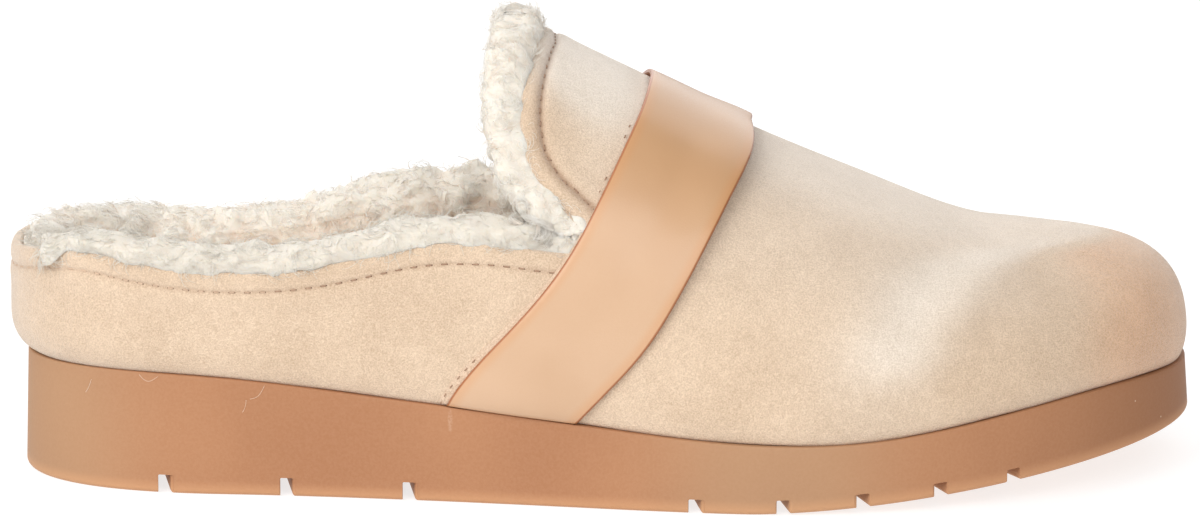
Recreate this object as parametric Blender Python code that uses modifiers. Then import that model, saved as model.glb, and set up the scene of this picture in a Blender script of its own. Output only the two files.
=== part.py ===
"""Mule slipper for the right foot: rubber platform sole, insole, suede upper, fleece lining, leather strap.

All sizes are in millimetres, in the last's own frame: x runs from the back of the sole (0) to the toe, the
outer side of the foot is at -y, and the floor is at z = 0. The meshes are in metres, centred over the origin.
"""

import math
from collections import namedtuple

import bmesh
import bpy
import numpy as np

MM = 0.001
OUTER, INNER = -1, 1

# Driving sizes
SOLE_LENGTH = 260.0
WALL = 2.0  # suede with its backing
GAP = 0.3  # between pieces that meet
FLEECE_GAP = 0.6  # between the curved faces of upper and lining
FEATHER_INSET = 1.6  # the upper's lower edge lies this far inside the sole's edge
TUCK_HEIGHT = 8.0  # round foot of the wall, where the upper turns under to the sole
INSOLE_THICKNESS = 6.5
INSOLE_INSET = 3.0  # inside the upper's lower edge
STRAP_THICKNESS = 1.8
STRAP_GAP = 0.4
FLEECE_DEEP = 6.5  # pile on the walls inside
FLEECE_AT_COLLAR = 9.0
LOCK_HEIGHT = 1.3  # how far the curled locks stand out of the fleece roll

# Plan of the sole: where its round heel ends and its round toe begins, as shares of its length
HEEL_ROUND, HEEL_POWER = 0.175, 2.2
TOE_ROUND_OUTER, TOE_ROUND_INNER, TOE_POWER = 0.58, 0.68, 2.5

# The ridge of the last starts and ends this far inside the heel and the toe
HEEL_SPINE, TOE_SPINE = 34.0, 35.0

# Mesh steps round the shoe, up the wall and along the strap, and the power that crowds wall rows to the sole
AROUND, WALL_ROWS, FLEECE_ROWS, STRAP_ROWS, STRAP_COLUMNS = 80, 12, 7, 36, 5
ROW_POWER = 1.6

# Sections from heel to toe. share: of the sole's length. outer, inner: half widths before the ends are
# rounded. bend: of the middle line to the inner side. top: height of the sole's upper edge. overhang: how far
# the wall stands outside the sole. squareness: of the section.
Section = namedtuple("Section", "share outer inner bend top overhang squareness")
SECTIONS = (
    Section(0.00, 32.5, 32.0, 0.0, 25.6, 3.6, 3.0),
    Section(0.15, 33.0, 32.0, 0.0, 25.0, 1.8, 3.0),
    Section(0.30, 37.0, 32.5, 0.0, 22.6, 1.2, 2.8),
    Section(0.45, 43.5, 35.0, 0.0, 19.2, 0.8, 2.4),
    Section(0.60, 50.5, 41.5, 0.5, 15.6, 0.8, 2.2),
    Section(0.72, 53.0, 44.5, 1.5, 15.0, 0.8, 2.2),
    Section(0.86, 52.5, 43.0, 4.0, 18.8, 0.6, 2.4),
    Section(1.00, 51.5, 42.0, 8.0, 22.6, 0.4, 3.3),
)

# Ridge of the last, closed over the opening. share: of the sole's length. height: of the crest.
# lean: to the inner side.
Crest = namedtuple("Crest", "share height lean")
RIDGE = (
    Crest(0.10, 103.0, 0.0),
    Crest(0.30, 102.5, 1.0),
    Crest(0.445, 97.6, 3.0),
    Crest(0.50, 91.4, 3.5),
    Crest(0.58, 80.6, 4.0),
    Crest(0.63, 74.2, 4.2),
    Crest(0.71, 65.0, 4.5),
    Crest(0.795, 56.2, 5.0),
    Crest(0.84, 53.2, 5.5),
    Crest(0.87, 52.4, 6.0),
)

# Edge of the opening, from the back of the heel to the middle of the throat. foot: share of the sole's length
# where the wall line to this point starts. station, height: section and height of the point. drop: how much
# lower it is on the inner side. roll: rise of the fleece. cover: how far the fleece may hang over the edge.
Collar = namedtuple("Collar", "foot station height drop roll cover")
COLLAR = (
    Collar(0.00, 0.000, 52.2, 0.0, 0.55, -0.2),
    Collar(0.10, 0.100, 52.0, 4.0, 0.55, 0.6),
    Collar(0.19, 0.190, 50.6, 3.0, 0.55, 1.2),
    Collar(0.27, 0.270, 53.0, 1.0, 0.58, 1.2),
    Collar(0.35, 0.355, 57.8, 1.0, 0.60, 1.0),
    Collar(0.42, 0.430, 57.2, 0.5, 0.60, 0.2),
    Collar(0.49, 0.474, 56.8, 0.0, 0.45, -0.6),
    Collar(0.55, 0.482, 60.4, 0.0, 0.40, -0.8),
    Collar(0.61, 0.470, 64.6, 0.0, 0.50, -0.8),
    Collar(0.70, 0.444, 71.5, 0.0, 0.72, 0.4),
    Collar(0.80, 0.430, 79.5, 0.0, 0.88, 1.0),
    Collar(0.90, 0.427, 89.0, 0.0, 1.00, 1.2),
)
THROAT = Collar(1.00, 0.432, None, 0.0, 1.15, 1.4)

# The strap's two edges on the last. way: along it from the sole (0) to the ridge (1). back, front: sections.
Strap = namedtuple("Strap", "way back front")
STRAP = (
    Strap(0.00, 0.364, 0.474),
    Strap(0.10, 0.413, 0.515),
    Strap(0.25, 0.461, 0.554),
    Strap(0.40, 0.488, 0.581),
    Strap(0.60, 0.514, 0.613),
    Strap(0.80, 0.535, 0.644),
    Strap(1.00, 0.549, 0.666),
)
STRAP_SQUARENESS = 2.3  # of the sections it crosses

# Edge of the sole, from the tread up. inset: inside the outline. of_top: 0 at the tread, 1 at the upper edge.
# lift: above that level.
EdgeRow = namedtuple("EdgeRow", "inset of_top lift")
SOLE_EDGE = (
    EdgeRow(1.8, 0, 0.0),
    EdgeRow(0.5, 0, 0.5),
    EdgeRow(0.0, 0, 1.9),
    EdgeRow(0.0, 1, -0.8),
    EdgeRow(0.8, 1, 0.0),
)
TOE_SPRING, SPRING_START, SPRING_POWER = 10.2, 0.62, 1.35

# Flex grooves across the tread, pointing back in the middle. share: at the sole's outer edge.
# slant: degrees off square.
Groove = namedtuple("Groove", "share slant")
GROOVES = (
    Groove(0.123, 8),
    Groove(0.227, 8),
    Groove(0.331, 8),
    Groove(0.572, 9),
    Groove(0.646, 11),
    Groove(0.714, 16),
    Groove(0.781, 17),
    Groove(0.846, 22),
)
GROOVE_WIDTH, GROOVE_DEPTH, CUT_MARGIN = 2.7, 4.2, 6.0

# Rolled edge of the fleece. rise: past the suede's edge. depth: in from the suede's outer face.
Roll = namedtuple("Roll", "rise depth")
FLEECE_ROLL = (
    Roll(0.8, 1.0),
    Roll(2.4, -1.0),
    Roll(5.8, -0.8),
    Roll(8.8, 2.2),
    Roll(9.2, 6.0),
    Roll(6.6, 9.2),
    Roll(2.8, 10.4),
)
ROLL_CENTRE = Roll(3.2, 4.8)
INNER_ROLL = 0.6  # the fleece lies flatter on the inner side

Finish = namedtuple("Finish", "colour roughness")
SUEDE = Finish((0.82, 0.62, 0.45), 0.95)
LEATHER = Finish((0.73, 0.44, 0.23), 0.45)
GUM_RUBBER = Finish((0.50, 0.25, 0.13), 0.50)
FLEECE = Finish((0.85, 0.80, 0.70), 1.00)
INSOLE_CLOTH = Finish((0.80, 0.68, 0.53), 1.00)


def spline(knots, values, at):
    """Natural cubic curve through (knots, values), read at `at`."""
    knots, values = np.asarray(knots, float), np.asarray(values, float)
    step = np.diff(knots)
    slope = np.diff(values) / step
    system = np.eye(len(knots))
    bends = np.zeros(len(knots))
    for i in range(1, len(knots) - 1):
        system[i, i - 1 : i + 2] = step[i - 1], 2 * (step[i - 1] + step[i]), step[i]
        bends[i] = 6 * (slope[i] - slope[i - 1])
    bends = np.linalg.solve(system, bends)
    i = np.clip(np.searchsorted(knots, at) - 1, 0, len(step) - 1)
    after, before = at - knots[i], knots[i + 1] - at
    cubic = (bends[i] * before**3 + bends[i + 1] * after**3) / (6 * step[i])
    low = (values[i] / step[i] - bends[i] * step[i] / 6) * before
    high = (values[i + 1] / step[i] - bends[i + 1] * step[i] / 6) * after
    return cubic + low + high


def read(table, column, at):
    """A column of a table as a smooth curve over the table's first column."""
    return spline([row[0] for row in table], [getattr(row, column) for row in table], at)


def ring(count):
    """Shares and sides round the sole: along the outer side to the toe, and back along the inner side."""
    turn = np.arange(count) * 2 * math.pi / count
    return (1 - np.cos(turn)) / 2, np.where(turn <= math.pi, OUTER, INNER)


def rounded_end(way, power):
    """Share of the width left at `way` through a round end, from 0 where it begins to 1 at its tip."""
    return np.sqrt(1 - np.clip(way, 0, 1) ** power)


def half_width(share, side):
    width = np.where(side == OUTER, read(SECTIONS, "outer", share), read(SECTIONS, "inner", share))
    toe_start = np.where(side == OUTER, TOE_ROUND_OUTER, TOE_ROUND_INNER)
    heel = rounded_end((HEEL_ROUND - share) / HEEL_ROUND, HEEL_POWER)
    toe = rounded_end((share - toe_start) / (1 - toe_start), TOE_POWER)
    return width * heel * toe


def tread(share):
    """Height of the tread: flat from the heel to the ball, then sprung up to the toe."""
    return TOE_SPRING * (np.clip(share - SPRING_START, 0, 1) / (1 - SPRING_START)) ** SPRING_POWER


def spine(share):
    """Place, lean, height and slope of the ridge that the section at this share rises to."""
    along = HEEL_SPINE + share * (SOLE_LENGTH - HEEL_SPINE - TOE_SPINE)
    place = along / SOLE_LENGTH
    nudge = 0.002
    rise = read(RIDGE, "height", place + nudge) - read(RIDGE, "height", place - nudge)
    slope = rise / (2 * nudge * SOLE_LENGTH)
    return along, read(RIDGE, "lean", place), read(RIDGE, "height", place), slope


def reach(share, side):
    """Plan vector from the ridge to the sole's edge, as its length and direction."""
    along, lean, _, _ = spine(share)
    x = share * SOLE_LENGTH - along
    y = side * half_width(share, side) + read(SECTIONS, "bend", share) - lean
    length = np.hypot(x, y)
    return length, x / length, y / length


def outline(share, side, inset):
    """Plan of the sole, drawn in by `inset`."""
    along, lean, _, _ = spine(share)
    length, way_x, way_y = reach(share, side)
    return along + way_x * (length - inset), lean + way_y * (length - inset)


def section_curve(climb, squareness):
    """A section as shares of its half width and height: (1, 0) at the sole's edge, (0, 1) at the ridge."""
    out = np.cos(np.clip(climb, 0, 1) * math.pi / 2)
    return out, (1 - out**squareness) ** (1 / squareness)


def last_point(share, side, climb):
    """Outer face of the upper: `climb` goes up a section from the sole's edge (0) to the ridge (1)."""
    along, lean, crest, slope = spine(share)
    length, way_x, way_y = reach(share, side)
    foot = read(SECTIONS, "top", share) + GAP
    overhang = read(SECTIONS, "overhang", share)
    squareness = read(SECTIONS, "squareness", share)
    out, up = section_curve(climb, squareness)
    widest = length + overhang
    drop = crest + slope * way_x * widest - foot
    z = crest + slope * way_x * widest * out - drop * (1 - up)
    low = 1 - np.clip((z - foot) / TUCK_HEIGHT, 0, 1)
    tuck = (FEATHER_INSET + overhang) * (1 - np.sqrt(1 - low**2))
    away = widest * out - tuck
    return np.stack([along + way_x * away, lean + way_y * away, z], axis=-1)


def last_normal(share, side, climb):
    """Outward directions of the last's face."""
    nudge = 0.002
    turn = np.arccos(1 - 2 * share)
    ahead = (1 - np.cos(np.clip(turn + nudge, 0, math.pi))) / 2
    behind = (1 - np.cos(np.clip(turn - nudge, 0, math.pi))) / 2
    around = (last_point(ahead, side, climb) - last_point(behind, side, climb)) * -side[..., None]
    higher, lower = np.clip(climb + nudge, 0, 1), np.clip(climb - nudge, 0, 1)
    return unit(np.cross(around, last_point(share, side, higher) - last_point(share, side, lower)))


def climb_at_height(share, side, height):
    """How far up its section the last reaches this height."""
    low, high = np.zeros_like(share), np.ones_like(share)
    for _ in range(40):
        middle = (low + high) / 2
        below = last_point(share, side, middle)[..., 2] < height
        low, high = np.where(below, middle, low), np.where(below, high, middle)
    return (low + high) / 2


def flatten(share, side, climb):
    """The last spread flat: each section is a straight line from the sole's edge to the ridge at y = 0."""
    along, _, _, _ = spine(share)
    length, way_x, way_y = reach(share, side)
    away = length * (1 - climb)
    return along + way_x * away, way_y * away


def unflatten(x, y, side):
    """Share and climb of a place on the flat last."""
    low, high = np.zeros_like(x), np.full_like(x, math.pi)
    for _ in range(40):
        turn = (low + high) / 2
        share = (1 - np.cos(turn)) / 2
        along, _, _, _ = spine(share)
        _, way_x, way_y = reach(share, side)
        behind = side * (way_y * (x - along) - way_x * y) > 0
        low, high = np.where(behind, turn, low), np.where(behind, high, turn)
    share = (1 - np.cos(low)) / 2
    along, _, _, _ = spine(share)
    length, _, _ = reach(share, side)
    return share, 1 - np.hypot(x - along, y) / length


def collar_rows():
    """The collar's table, closed at the middle of the throat on the ridge."""
    _, _, crest, _ = spine(THROAT.station)
    return (*COLLAR, THROAT._replace(height=crest))


def wall(foot, side, rise):
    """Share and climb along a line up the upper, from the sole at `foot` (rise 0) to the collar (rise 1)."""
    rows = collar_rows()
    station = read(rows, "station", foot)
    height = read(rows, "height", foot) - np.where(side == INNER, read(rows, "drop", foot), 0)
    top_x, top_y = flatten(station, side, climb_at_height(station, side, height))
    low_x, low_y = flatten(foot, side, 0.0)
    return unflatten(low_x + (top_x - low_x) * rise, low_y + (top_y - low_y) * rise, side)


def wall_faces(foot, side, rise):
    """Points and outward directions on the upper's outer face."""
    share, climb = wall(foot, side, rise)
    side = np.broadcast_to(side, share.shape)
    return last_point(share, side, climb), last_normal(share, side, climb)


def rise_at_height(foot, side, height):
    """How far up its wall line the upper reaches this height."""
    low, high = np.zeros_like(foot), np.ones_like(foot)
    for _ in range(24):
        middle = (low + high) / 2
        share, climb = wall(foot, side, middle)
        below = last_point(share, side, climb)[..., 2] < height
        low, high = np.where(below, middle, low), np.where(below, high, middle)
    return (low + high) / 2


def unit(vectors):
    return vectors / np.linalg.norm(vectors, axis=-1, keepdims=True)


def past_edge(edge, normal):
    """Directions along the wall and square to its upper edge, out into the opening."""
    around = np.roll(edge, -1, axis=0) - np.roll(edge, 1, axis=0)
    return unit(np.cross(normal, around))


def plain_material(name, finish):
    material = bpy.data.materials.new(name)
    material.use_nodes = True
    shader = material.node_tree.nodes["Principled BSDF"]
    shader.inputs["Base Color"].default_value = (*finish.colour, 1.0)
    shader.inputs["Roughness"].default_value = finish.roughness
    shader.inputs["Metallic"].default_value = 0.0
    material.diffuse_color = (*finish.colour, 1.0)
    return material


def shape_object(name, points, faces, collection):
    """A mesh object with its faces turned outwards."""
    mesh = bpy.data.meshes.new(name)
    mesh.from_pydata((np.reshape(points, (-1, 3)) * MM).tolist(), [], faces)
    shape = bmesh.new()
    shape.from_mesh(mesh)
    bmesh.ops.recalc_face_normals(shape, faces=shape.faces)
    shape.to_mesh(mesh)
    shape.free()
    mesh.shade_smooth()
    mesh.set_sharp_from_angle(angle=math.radians(40))
    made = bpy.data.objects.new(name, mesh)
    collection.objects.link(made)
    return made


def grid_faces(lines, points, closed_round, closed_profile):
    """Quads between neighbouring lines of points."""
    faces = []
    for i in range(lines if closed_round else lines - 1):
        here, there = i * points, (i + 1) % lines * points
        for j in range(points if closed_profile else points - 1):
            after = (j + 1) % points
            faces.append((here + j, there + j, there + after, here + after))
    return faces


def stack_faces(rings, count):
    """Sides between rings, with the lowest and highest closed by strips from the outer to the inner side."""
    faces = []
    for level in range(rings - 1):
        low, high = level * count, (level + 1) * count
        for i in range(count):
            after = (i + 1) % count
            faces.append((low + i, low + after, high + after, high + i))
    for base in (0, (rings - 1) * count):
        for i in range(count // 2):
            corners = (i, i + 1, (count - i - 1) % count, (count - i) % count)
            faces.append([base + c for c in dict.fromkeys(corners)])
    return faces


def build_outsole(parts, cutters):
    share, side = ring(AROUND)
    low, top = tread(share), read(SECTIONS, "top", share)
    rings = []
    for row in SOLE_EDGE:
        x, y = outline(share, side, row.inset)
        rings.append(np.stack([x, y, low + (top - low) * row.of_top + row.lift], axis=-1))
    sole = shape_object("outsole", rings, stack_faces(len(rings), AROUND), parts)
    for number, groove in enumerate(GROOVES, 1):
        build_groove_cutter(f"groove_cutter_{number}", groove, cutters)
    cut = sole.modifiers.new("flex grooves", "BOOLEAN")
    cut.operation = "DIFFERENCE"
    cut.operand_type = "COLLECTION"
    cut.collection = cutters
    return sole


def build_groove_cutter(name, groove, cutters):
    """A chevron bar: its arms run from beyond the sole's edges to the middle, which lies nearer the heel."""
    share = np.array(groove.share)
    back = math.tan(math.radians(groove.slant))
    width = GROOVE_WIDTH / math.cos(math.radians(groove.slant))
    outer, inner = half_width(share, OUTER), half_width(share, INNER)
    middle = share * SOLE_LENGTH - back * outer
    arms = ((middle + back * (outer + CUT_MARGIN), -outer - CUT_MARGIN), (middle, 0.0))
    arms = (*arms, (middle + back * (inner + CUT_MARGIN), inner + CUT_MARGIN))
    front = [(x + width / 2, y) for x, y in arms]
    rear = [(x - width / 2, y) for x, y in reversed(arms)]
    roof = tread(share) + GROOVE_DEPTH
    shape = bmesh.new()
    rim = [shape.verts.new((x * MM, y * MM, -CUT_MARGIN * MM)) for x, y in front + rear]
    raised = bmesh.ops.extrude_face_region(shape, geom=[shape.faces.new(rim)])["geom"]
    roof_corners = [corner for corner in raised if isinstance(corner, bmesh.types.BMVert)]
    bmesh.ops.translate(shape, verts=roof_corners, vec=(0, 0, (roof + CUT_MARGIN) * MM))
    bmesh.ops.recalc_face_normals(shape, faces=shape.faces)
    mesh = bpy.data.meshes.new(name)
    shape.to_mesh(mesh)
    shape.free()
    cutter = bpy.data.objects.new(name, mesh)
    cutter.hide_render = True
    cutter.display_type = "WIRE"
    cutters.objects.link(cutter)


def build_insole(parts):
    share, side = ring(AROUND)
    top = read(SECTIONS, "top", share)
    rings = []
    for inset, lift in ((0.0, GAP), (0.0, INSOLE_THICKNESS - 1.5), (1.5, INSOLE_THICKNESS)):
        x, y = outline(share, side, FEATHER_INSET + INSOLE_INSET + inset)
        rings.append(np.stack([x, y, top + lift], axis=-1))
    return shape_object("insole", rings, stack_faces(len(rings), AROUND), parts)


def build_upper(parts):
    """One open wall from the sole up to the collar, thickened inwards."""
    share, side = (row[:, None] for row in ring(AROUND))
    rise = (np.arange(WALL_ROWS + 1) / WALL_ROWS)[None, :] ** ROW_POWER
    outside, _ = wall_faces(share, side, rise)
    upper = shape_object("upper", outside, grid_faces(AROUND, WALL_ROWS + 1, True, False), parts)
    thicken = upper.modifiers.new("wall", "SOLIDIFY")
    thicken.thickness = WALL * MM
    thicken.offset = -1
    return upper


def build_lining(parts):
    """Fleece on the inside of the upper, standing past the collar in a rolled edge of curled locks."""
    share, side = (row[:, None] for row in ring(AROUND))
    floor = read(SECTIONS, "top", share) + INSOLE_THICKNESS + GAP
    start = rise_at_height(share, side, floor + GAP)
    rows = (np.arange(WALL_ROWS + 1) / WALL_ROWS)[None, :] ** ROW_POWER
    outside, normal = wall_faces(share, side, start + (1 - start) * rows)
    edge, edge_normal = outside[:, -1:], normal[:, -1:]
    up = past_edge(edge, edge_normal)
    scale = (read(collar_rows(), "roll", share) * np.where(side == OUTER, 1, INNER_ROLL))[..., None]
    cover = read(collar_rows(), "cover", share)[..., None]
    rise = np.array([row.rise for row in FLEECE_ROLL])[None, :, None]
    depth = np.array([row.depth for row in FLEECE_ROLL])[None, :, None]
    locks = np.random.default_rng(5).uniform(-1, 1, (AROUND, len(FLEECE_ROLL), 1)) * LOCK_HEIGHT
    away_rise, away_depth = rise - ROLL_CENTRE.rise, depth - ROLL_CENTRE.depth
    stretch = 1 + locks / np.hypot(away_rise, away_depth)
    rise = 3 * GAP + (ROLL_CENTRE.rise + away_rise * stretch).clip(GAP) * scale
    depth = (ROLL_CENTRE.depth + away_depth * stretch).clip(-cover)
    roll = edge + up * rise - edge_normal * depth
    against = outside - (WALL + FLEECE_GAP) * normal
    inner_rows = np.linspace(0, 1, FLEECE_ROWS)[None, :] ** ROW_POWER
    face, face_normal = wall_faces(share, side, start + (1 - start) * inner_rows)
    thickness = FLEECE_DEEP + (FLEECE_AT_COLLAR - FLEECE_DEEP) * inner_rows[..., None] ** 2
    face = face - (WALL + FLEECE_GAP + thickness) * face_normal
    profile = np.concatenate([against, roll, face[:, ::-1]], axis=1)
    profile[..., 2] = np.maximum(profile[..., 2], floor)
    faces = grid_faces(AROUND, profile.shape[1], True, True)
    return shape_object("fleece_lining", profile, faces, parts)


def build_strap(parts):
    """Leather band over the instep, from the sole's edge on one side to its edge on the other."""
    turn = np.linspace(-1, 1, STRAP_ROWS + 1)[:, None]
    side = np.where(turn <= 0, OUTER, INNER)
    climb = (1 - np.abs(turn)) ** 2
    out, up = section_curve(climb, STRAP_SQUARENESS)
    way = (up + 1 - out) / 2
    back, front = read(STRAP, "back", way), read(STRAP, "front", way)
    across = np.linspace(0, 1, STRAP_COLUMNS)[None, :]
    under = last_point(back + (front - back) * across, side, climb)
    along, over = np.gradient(under, axis=1), np.gradient(under, axis=0)
    normal = np.cross(along, over)
    normal[..., 2] = normal[..., 2].clip(0)
    normal = unit(normal)
    low, high = under + STRAP_GAP * normal, under + (STRAP_GAP + STRAP_THICKNESS) * normal
    profile = np.concatenate([high, low[:, ::-1]], axis=1)
    points = profile.shape[1]
    faces = grid_faces(STRAP_ROWS + 1, points, False, True)
    faces += [tuple(range(points)), tuple(STRAP_ROWS * points + i for i in range(points))]
    return shape_object("instep_strap", profile, faces, parts)


def centre(pieces):
    """Shift that puts the origin under the middle of the shoe, on the floor."""
    corners = np.array([vertex.co for piece in pieces for vertex in piece.data.vertices])
    low, high = corners.min(axis=0), corners.max(axis=0)
    shift = -(low + high) / 2
    shift[2] = -low[2]
    return shift


def main():
    for old in list(bpy.data.objects):
        bpy.data.objects.remove(old)
    parts = bpy.data.collections.new("mule_slipper")
    cutters = bpy.data.collections.new("tread_cutters")
    for collection in (parts, cutters):
        bpy.context.scene.collection.children.link(collection)
    pieces = {
        build_outsole(parts, cutters): GUM_RUBBER,
        build_insole(parts): INSOLE_CLOTH,
        build_upper(parts): SUEDE,
        build_lining(parts): FLEECE,
        build_strap(parts): LEATHER,
    }
    shift = centre(pieces)
    for piece in [*pieces, *cutters.objects]:
        piece.location = shift
    for piece, finish in pieces.items():
        piece.data.materials.append(plain_material(piece.name, finish))


main()
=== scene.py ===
import math
from collections import namedtuple

import bpy
import numpy as np
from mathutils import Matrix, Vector, kdtree, noise
from mathutils.bvhtree import BVHTree


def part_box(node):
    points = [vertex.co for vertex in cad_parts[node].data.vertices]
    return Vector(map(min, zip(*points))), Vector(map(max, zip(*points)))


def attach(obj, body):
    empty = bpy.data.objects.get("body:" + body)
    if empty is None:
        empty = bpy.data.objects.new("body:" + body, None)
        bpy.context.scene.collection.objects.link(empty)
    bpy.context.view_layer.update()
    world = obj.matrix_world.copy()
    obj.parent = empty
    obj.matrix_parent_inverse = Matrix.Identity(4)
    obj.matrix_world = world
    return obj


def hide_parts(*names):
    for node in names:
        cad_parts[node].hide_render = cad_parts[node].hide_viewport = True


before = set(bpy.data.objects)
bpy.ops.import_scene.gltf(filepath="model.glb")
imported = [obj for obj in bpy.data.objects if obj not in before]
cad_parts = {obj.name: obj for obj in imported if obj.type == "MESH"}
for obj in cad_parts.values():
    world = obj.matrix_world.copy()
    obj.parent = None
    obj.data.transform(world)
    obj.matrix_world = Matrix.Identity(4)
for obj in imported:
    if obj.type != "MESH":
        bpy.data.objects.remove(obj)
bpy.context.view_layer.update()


# Upper: vamp and low quarters of brushed suede, pulled over a last and cemented to the sole.
# The collar and throat are turned over and stitched down a few millimetres below the fold.
# Sizes are in millimetres in the last's frame: x from heel to toe, outer side at -y, floor at z = 0.
MM = 0.001
OUTER, INNER = -1, 1
SOLE_LENGTH = 260.0
WALL = 2.0
GAP = 0.3
FEATHER_INSET = 1.6
TUCK_HEIGHT = 8.0
HEEL_ROUND, HEEL_POWER, HEEL_ROOT = 0.175, 2.2, 0.43
TOE_ROUND_OUTER, TOE_ROUND_INNER, TOE_POWER, TOE_ROOT = 0.58, 0.68, 2.5, 0.5
HEEL_SPINE, TOE_SPINE = 34.0, 35.0
UPPER_COLUMNS, LOW_ROWS, INNER_ROWS = 600, 78, 10
TRIAL_ROWS, ROW_CROWDING, EDGE_PARTS, PLAN_POINTS = 141, 1.5, 4, 2000
SEAT_GAP, SEAT_HEIGHT = 0.03, 2.0

Section = namedtuple("Section", "share outer inner bend top overhang squareness")
SECTIONS = (
    Section(0.00, 32.5, 32.0, 0.0, 27.0, 3.6, 3.0),
    Section(0.15, 33.0, 32.0, 0.0, 26.6, 1.8, 3.0),
    Section(0.30, 37.0, 32.5, 0.0, 23.0, 1.2, 2.8),
    Section(0.45, 43.5, 35.0, 0.0, 19.2, 0.8, 2.4),
    Section(0.60, 50.5, 41.5, 0.5, 15.6, 0.8, 2.2),
    Section(0.72, 53.0, 44.5, 1.5, 15.8, 0.8, 2.2),
    Section(0.86, 52.5, 43.0, 4.0, 20.8, 0.6, 2.4),
    Section(0.94, 51.9, 42.3, 6.2, 22.9, 0.48, 2.85),
    Section(1.00, 51.5, 42.0, 8.0, 22.6, 0.4, 3.3),
)

Crest = namedtuple("Crest", "share height lean")
RIDGE = (
    Crest(0.10, 103.0, 0.0),
    Crest(0.30, 102.5, 1.0),
    Crest(0.445, 96.9, 3.0),
    Crest(0.50, 90.5, 3.5),
    Crest(0.58, 79.8, 4.0),
    Crest(0.63, 73.5, 4.2),
    Crest(0.71, 64.5, 4.5),
    Crest(0.795, 55.9, 5.0),
    Crest(0.84, 53.2, 5.5),
    Crest(0.87, 52.4, 6.0),
)

# foot: where a wall line leaves the sole. station, height: where it ends at the collar. drop: how much
# lower it ends on the inner side. roll, cover: rise, as a share, and overhang of the fleece there.
Collar = namedtuple("Collar", "foot station height drop roll cover")
COLLAR = (
    Collar(0.00, 0.000, 51.0, 0.0, 0.18, -0.8),
    Collar(0.05, 0.050, 54.0, 4.0, 0.22, -1.2),
    Collar(0.10, 0.100, 52.6, 4.6, 0.36, 0.0),
    Collar(0.19, 0.190, 50.6, 2.2, 0.55, 1.2),
    Collar(0.27, 0.270, 53.0, 1.0, 0.58, 1.2),
    Collar(0.35, 0.355, 57.8, 1.0, 0.60, 1.0),
    Collar(0.42, 0.430, 57.2, 0.5, 0.60, 0.2),
    Collar(0.49, 0.474, 56.8, 0.0, 0.45, -0.6),
    Collar(0.55, 0.482, 60.4, 0.0, 0.40, -0.8),
    Collar(0.61, 0.466, 64.6, 0.0, 0.50, -0.8),
    Collar(0.70, 0.438, 71.5, 0.0, 0.66, -0.6),
    Collar(0.80, 0.423, 79.5, 0.0, 0.72, -0.6),
    Collar(0.90, 0.419, 89.0, 0.0, 0.84, -0.4),
)
THROAT = Collar(1.00, 0.423, None, 0.0, 0.98, 0.2)

# The turned edge: its round fold, where the mesh has rows below it, and the soft bands along it.
# below: how far under the edge a band lies. at_throat, wider: its gain in height and width up the throat.
FOLD_RADIUS, FOLD_END = 1.2, 5.0
STITCH_LINE = 4.6
FOLD_DISTANCES = (
    0.0, 0.2, 0.45, 0.75, 1.2, 1.7, 2.3, 2.9, 3.4, 3.8, 4.1,
    4.35, 4.6, 4.85, 5.1, 5.4, 5.8, 6.4, 7.2, 8.3, 9.5,
)
INNER_DISTANCES = (0.2, 0.6, 1.2, 3.0, 7.0)
Band = namedtuple("Band", "rise below width at_throat wider")
FOLD_PUFF = Band(0.22, 2.4, 1.5, 0.10, 0.0)
STITCH_TROUGH = Band(0.25, STITCH_LINE, 0.5, 0.25, 0.15)
BELOW_STITCHES = Band(0.22, 7.0, 1.8, 0.0, 0.0)
THROAT_SHADE = Band(0.0, STITCH_LINE - 0.9, 1.1, 0.45, 0.0)
THROAT_START, THROAT_FULL = 0.64, 0.78
# Trough depth at which the suede is painted fully shaded.
FULLY_SHADED_DEPTH = 0.76
PUCKER_HEIGHT, PUCKER_PITCH, PUCKER_WIDTH = 0.06, 3.3, 2.2
WAVER_HEIGHT, WAVER_SCALE, WAVER_ZONE = 0.28, 0.045, (3.0, 14.0)
FAR = 40.0

# Creases and ridges, placed one by one. depth: out of the surface. width: of the soft shoulder.
# line: shares and climbs on the last, the same on both sides.
FADE_START, FADE_END, STROKE_POINTS = 0.4, 0.25, 60
Crease = namedtuple("Crease", "depth width line")
CREASES = (
    Crease(
        1.15,
        5.5,
        (
            (0.988, 0.700), (0.959, 0.705), (0.921, 0.670), (0.859, 0.555), (0.831, 0.468), (0.805, 0.365),
            (0.786, 0.273), (0.773, 0.133),
        ),
    ),
    Crease(-0.7, 9.0, ((0.93, 0.84), (0.85, 0.72), (0.80, 0.55), (0.765, 0.40), (0.745, 0.25))),
    Crease(-0.25, 2.6, ((0.037, 0.105), (0.037, 0.08), (0.036, 0.05))),
    Crease(-0.3, 5.0, ((0.30, 0.10), (0.345, 0.08), (0.385, 0.05))),
)


def spline(knots, values, at):
    """Natural cubic curve through (knots, values), read at `at`."""
    knots, values = np.asarray(knots, float), np.asarray(values, float)
    step = np.diff(knots)
    slope = np.diff(values) / step
    system = np.eye(len(knots))
    bends = np.zeros(len(knots))
    for i in range(1, len(knots) - 1):
        system[i, i - 1 : i + 2] = step[i - 1], 2 * (step[i - 1] + step[i]), step[i]
        bends[i] = 6 * (slope[i] - slope[i - 1])
    bends = np.linalg.solve(system, bends)
    i = np.clip(np.searchsorted(knots, at) - 1, 0, len(step) - 1)
    after, before = at - knots[i], knots[i + 1] - at
    cubic = (bends[i] * before**3 + bends[i + 1] * after**3) / (6 * step[i])
    low = (values[i] / step[i] - bends[i] * step[i] / 6) * before
    high = (values[i + 1] / step[i] - bends[i + 1] * step[i] / 6) * after
    return cubic + low + high


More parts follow.
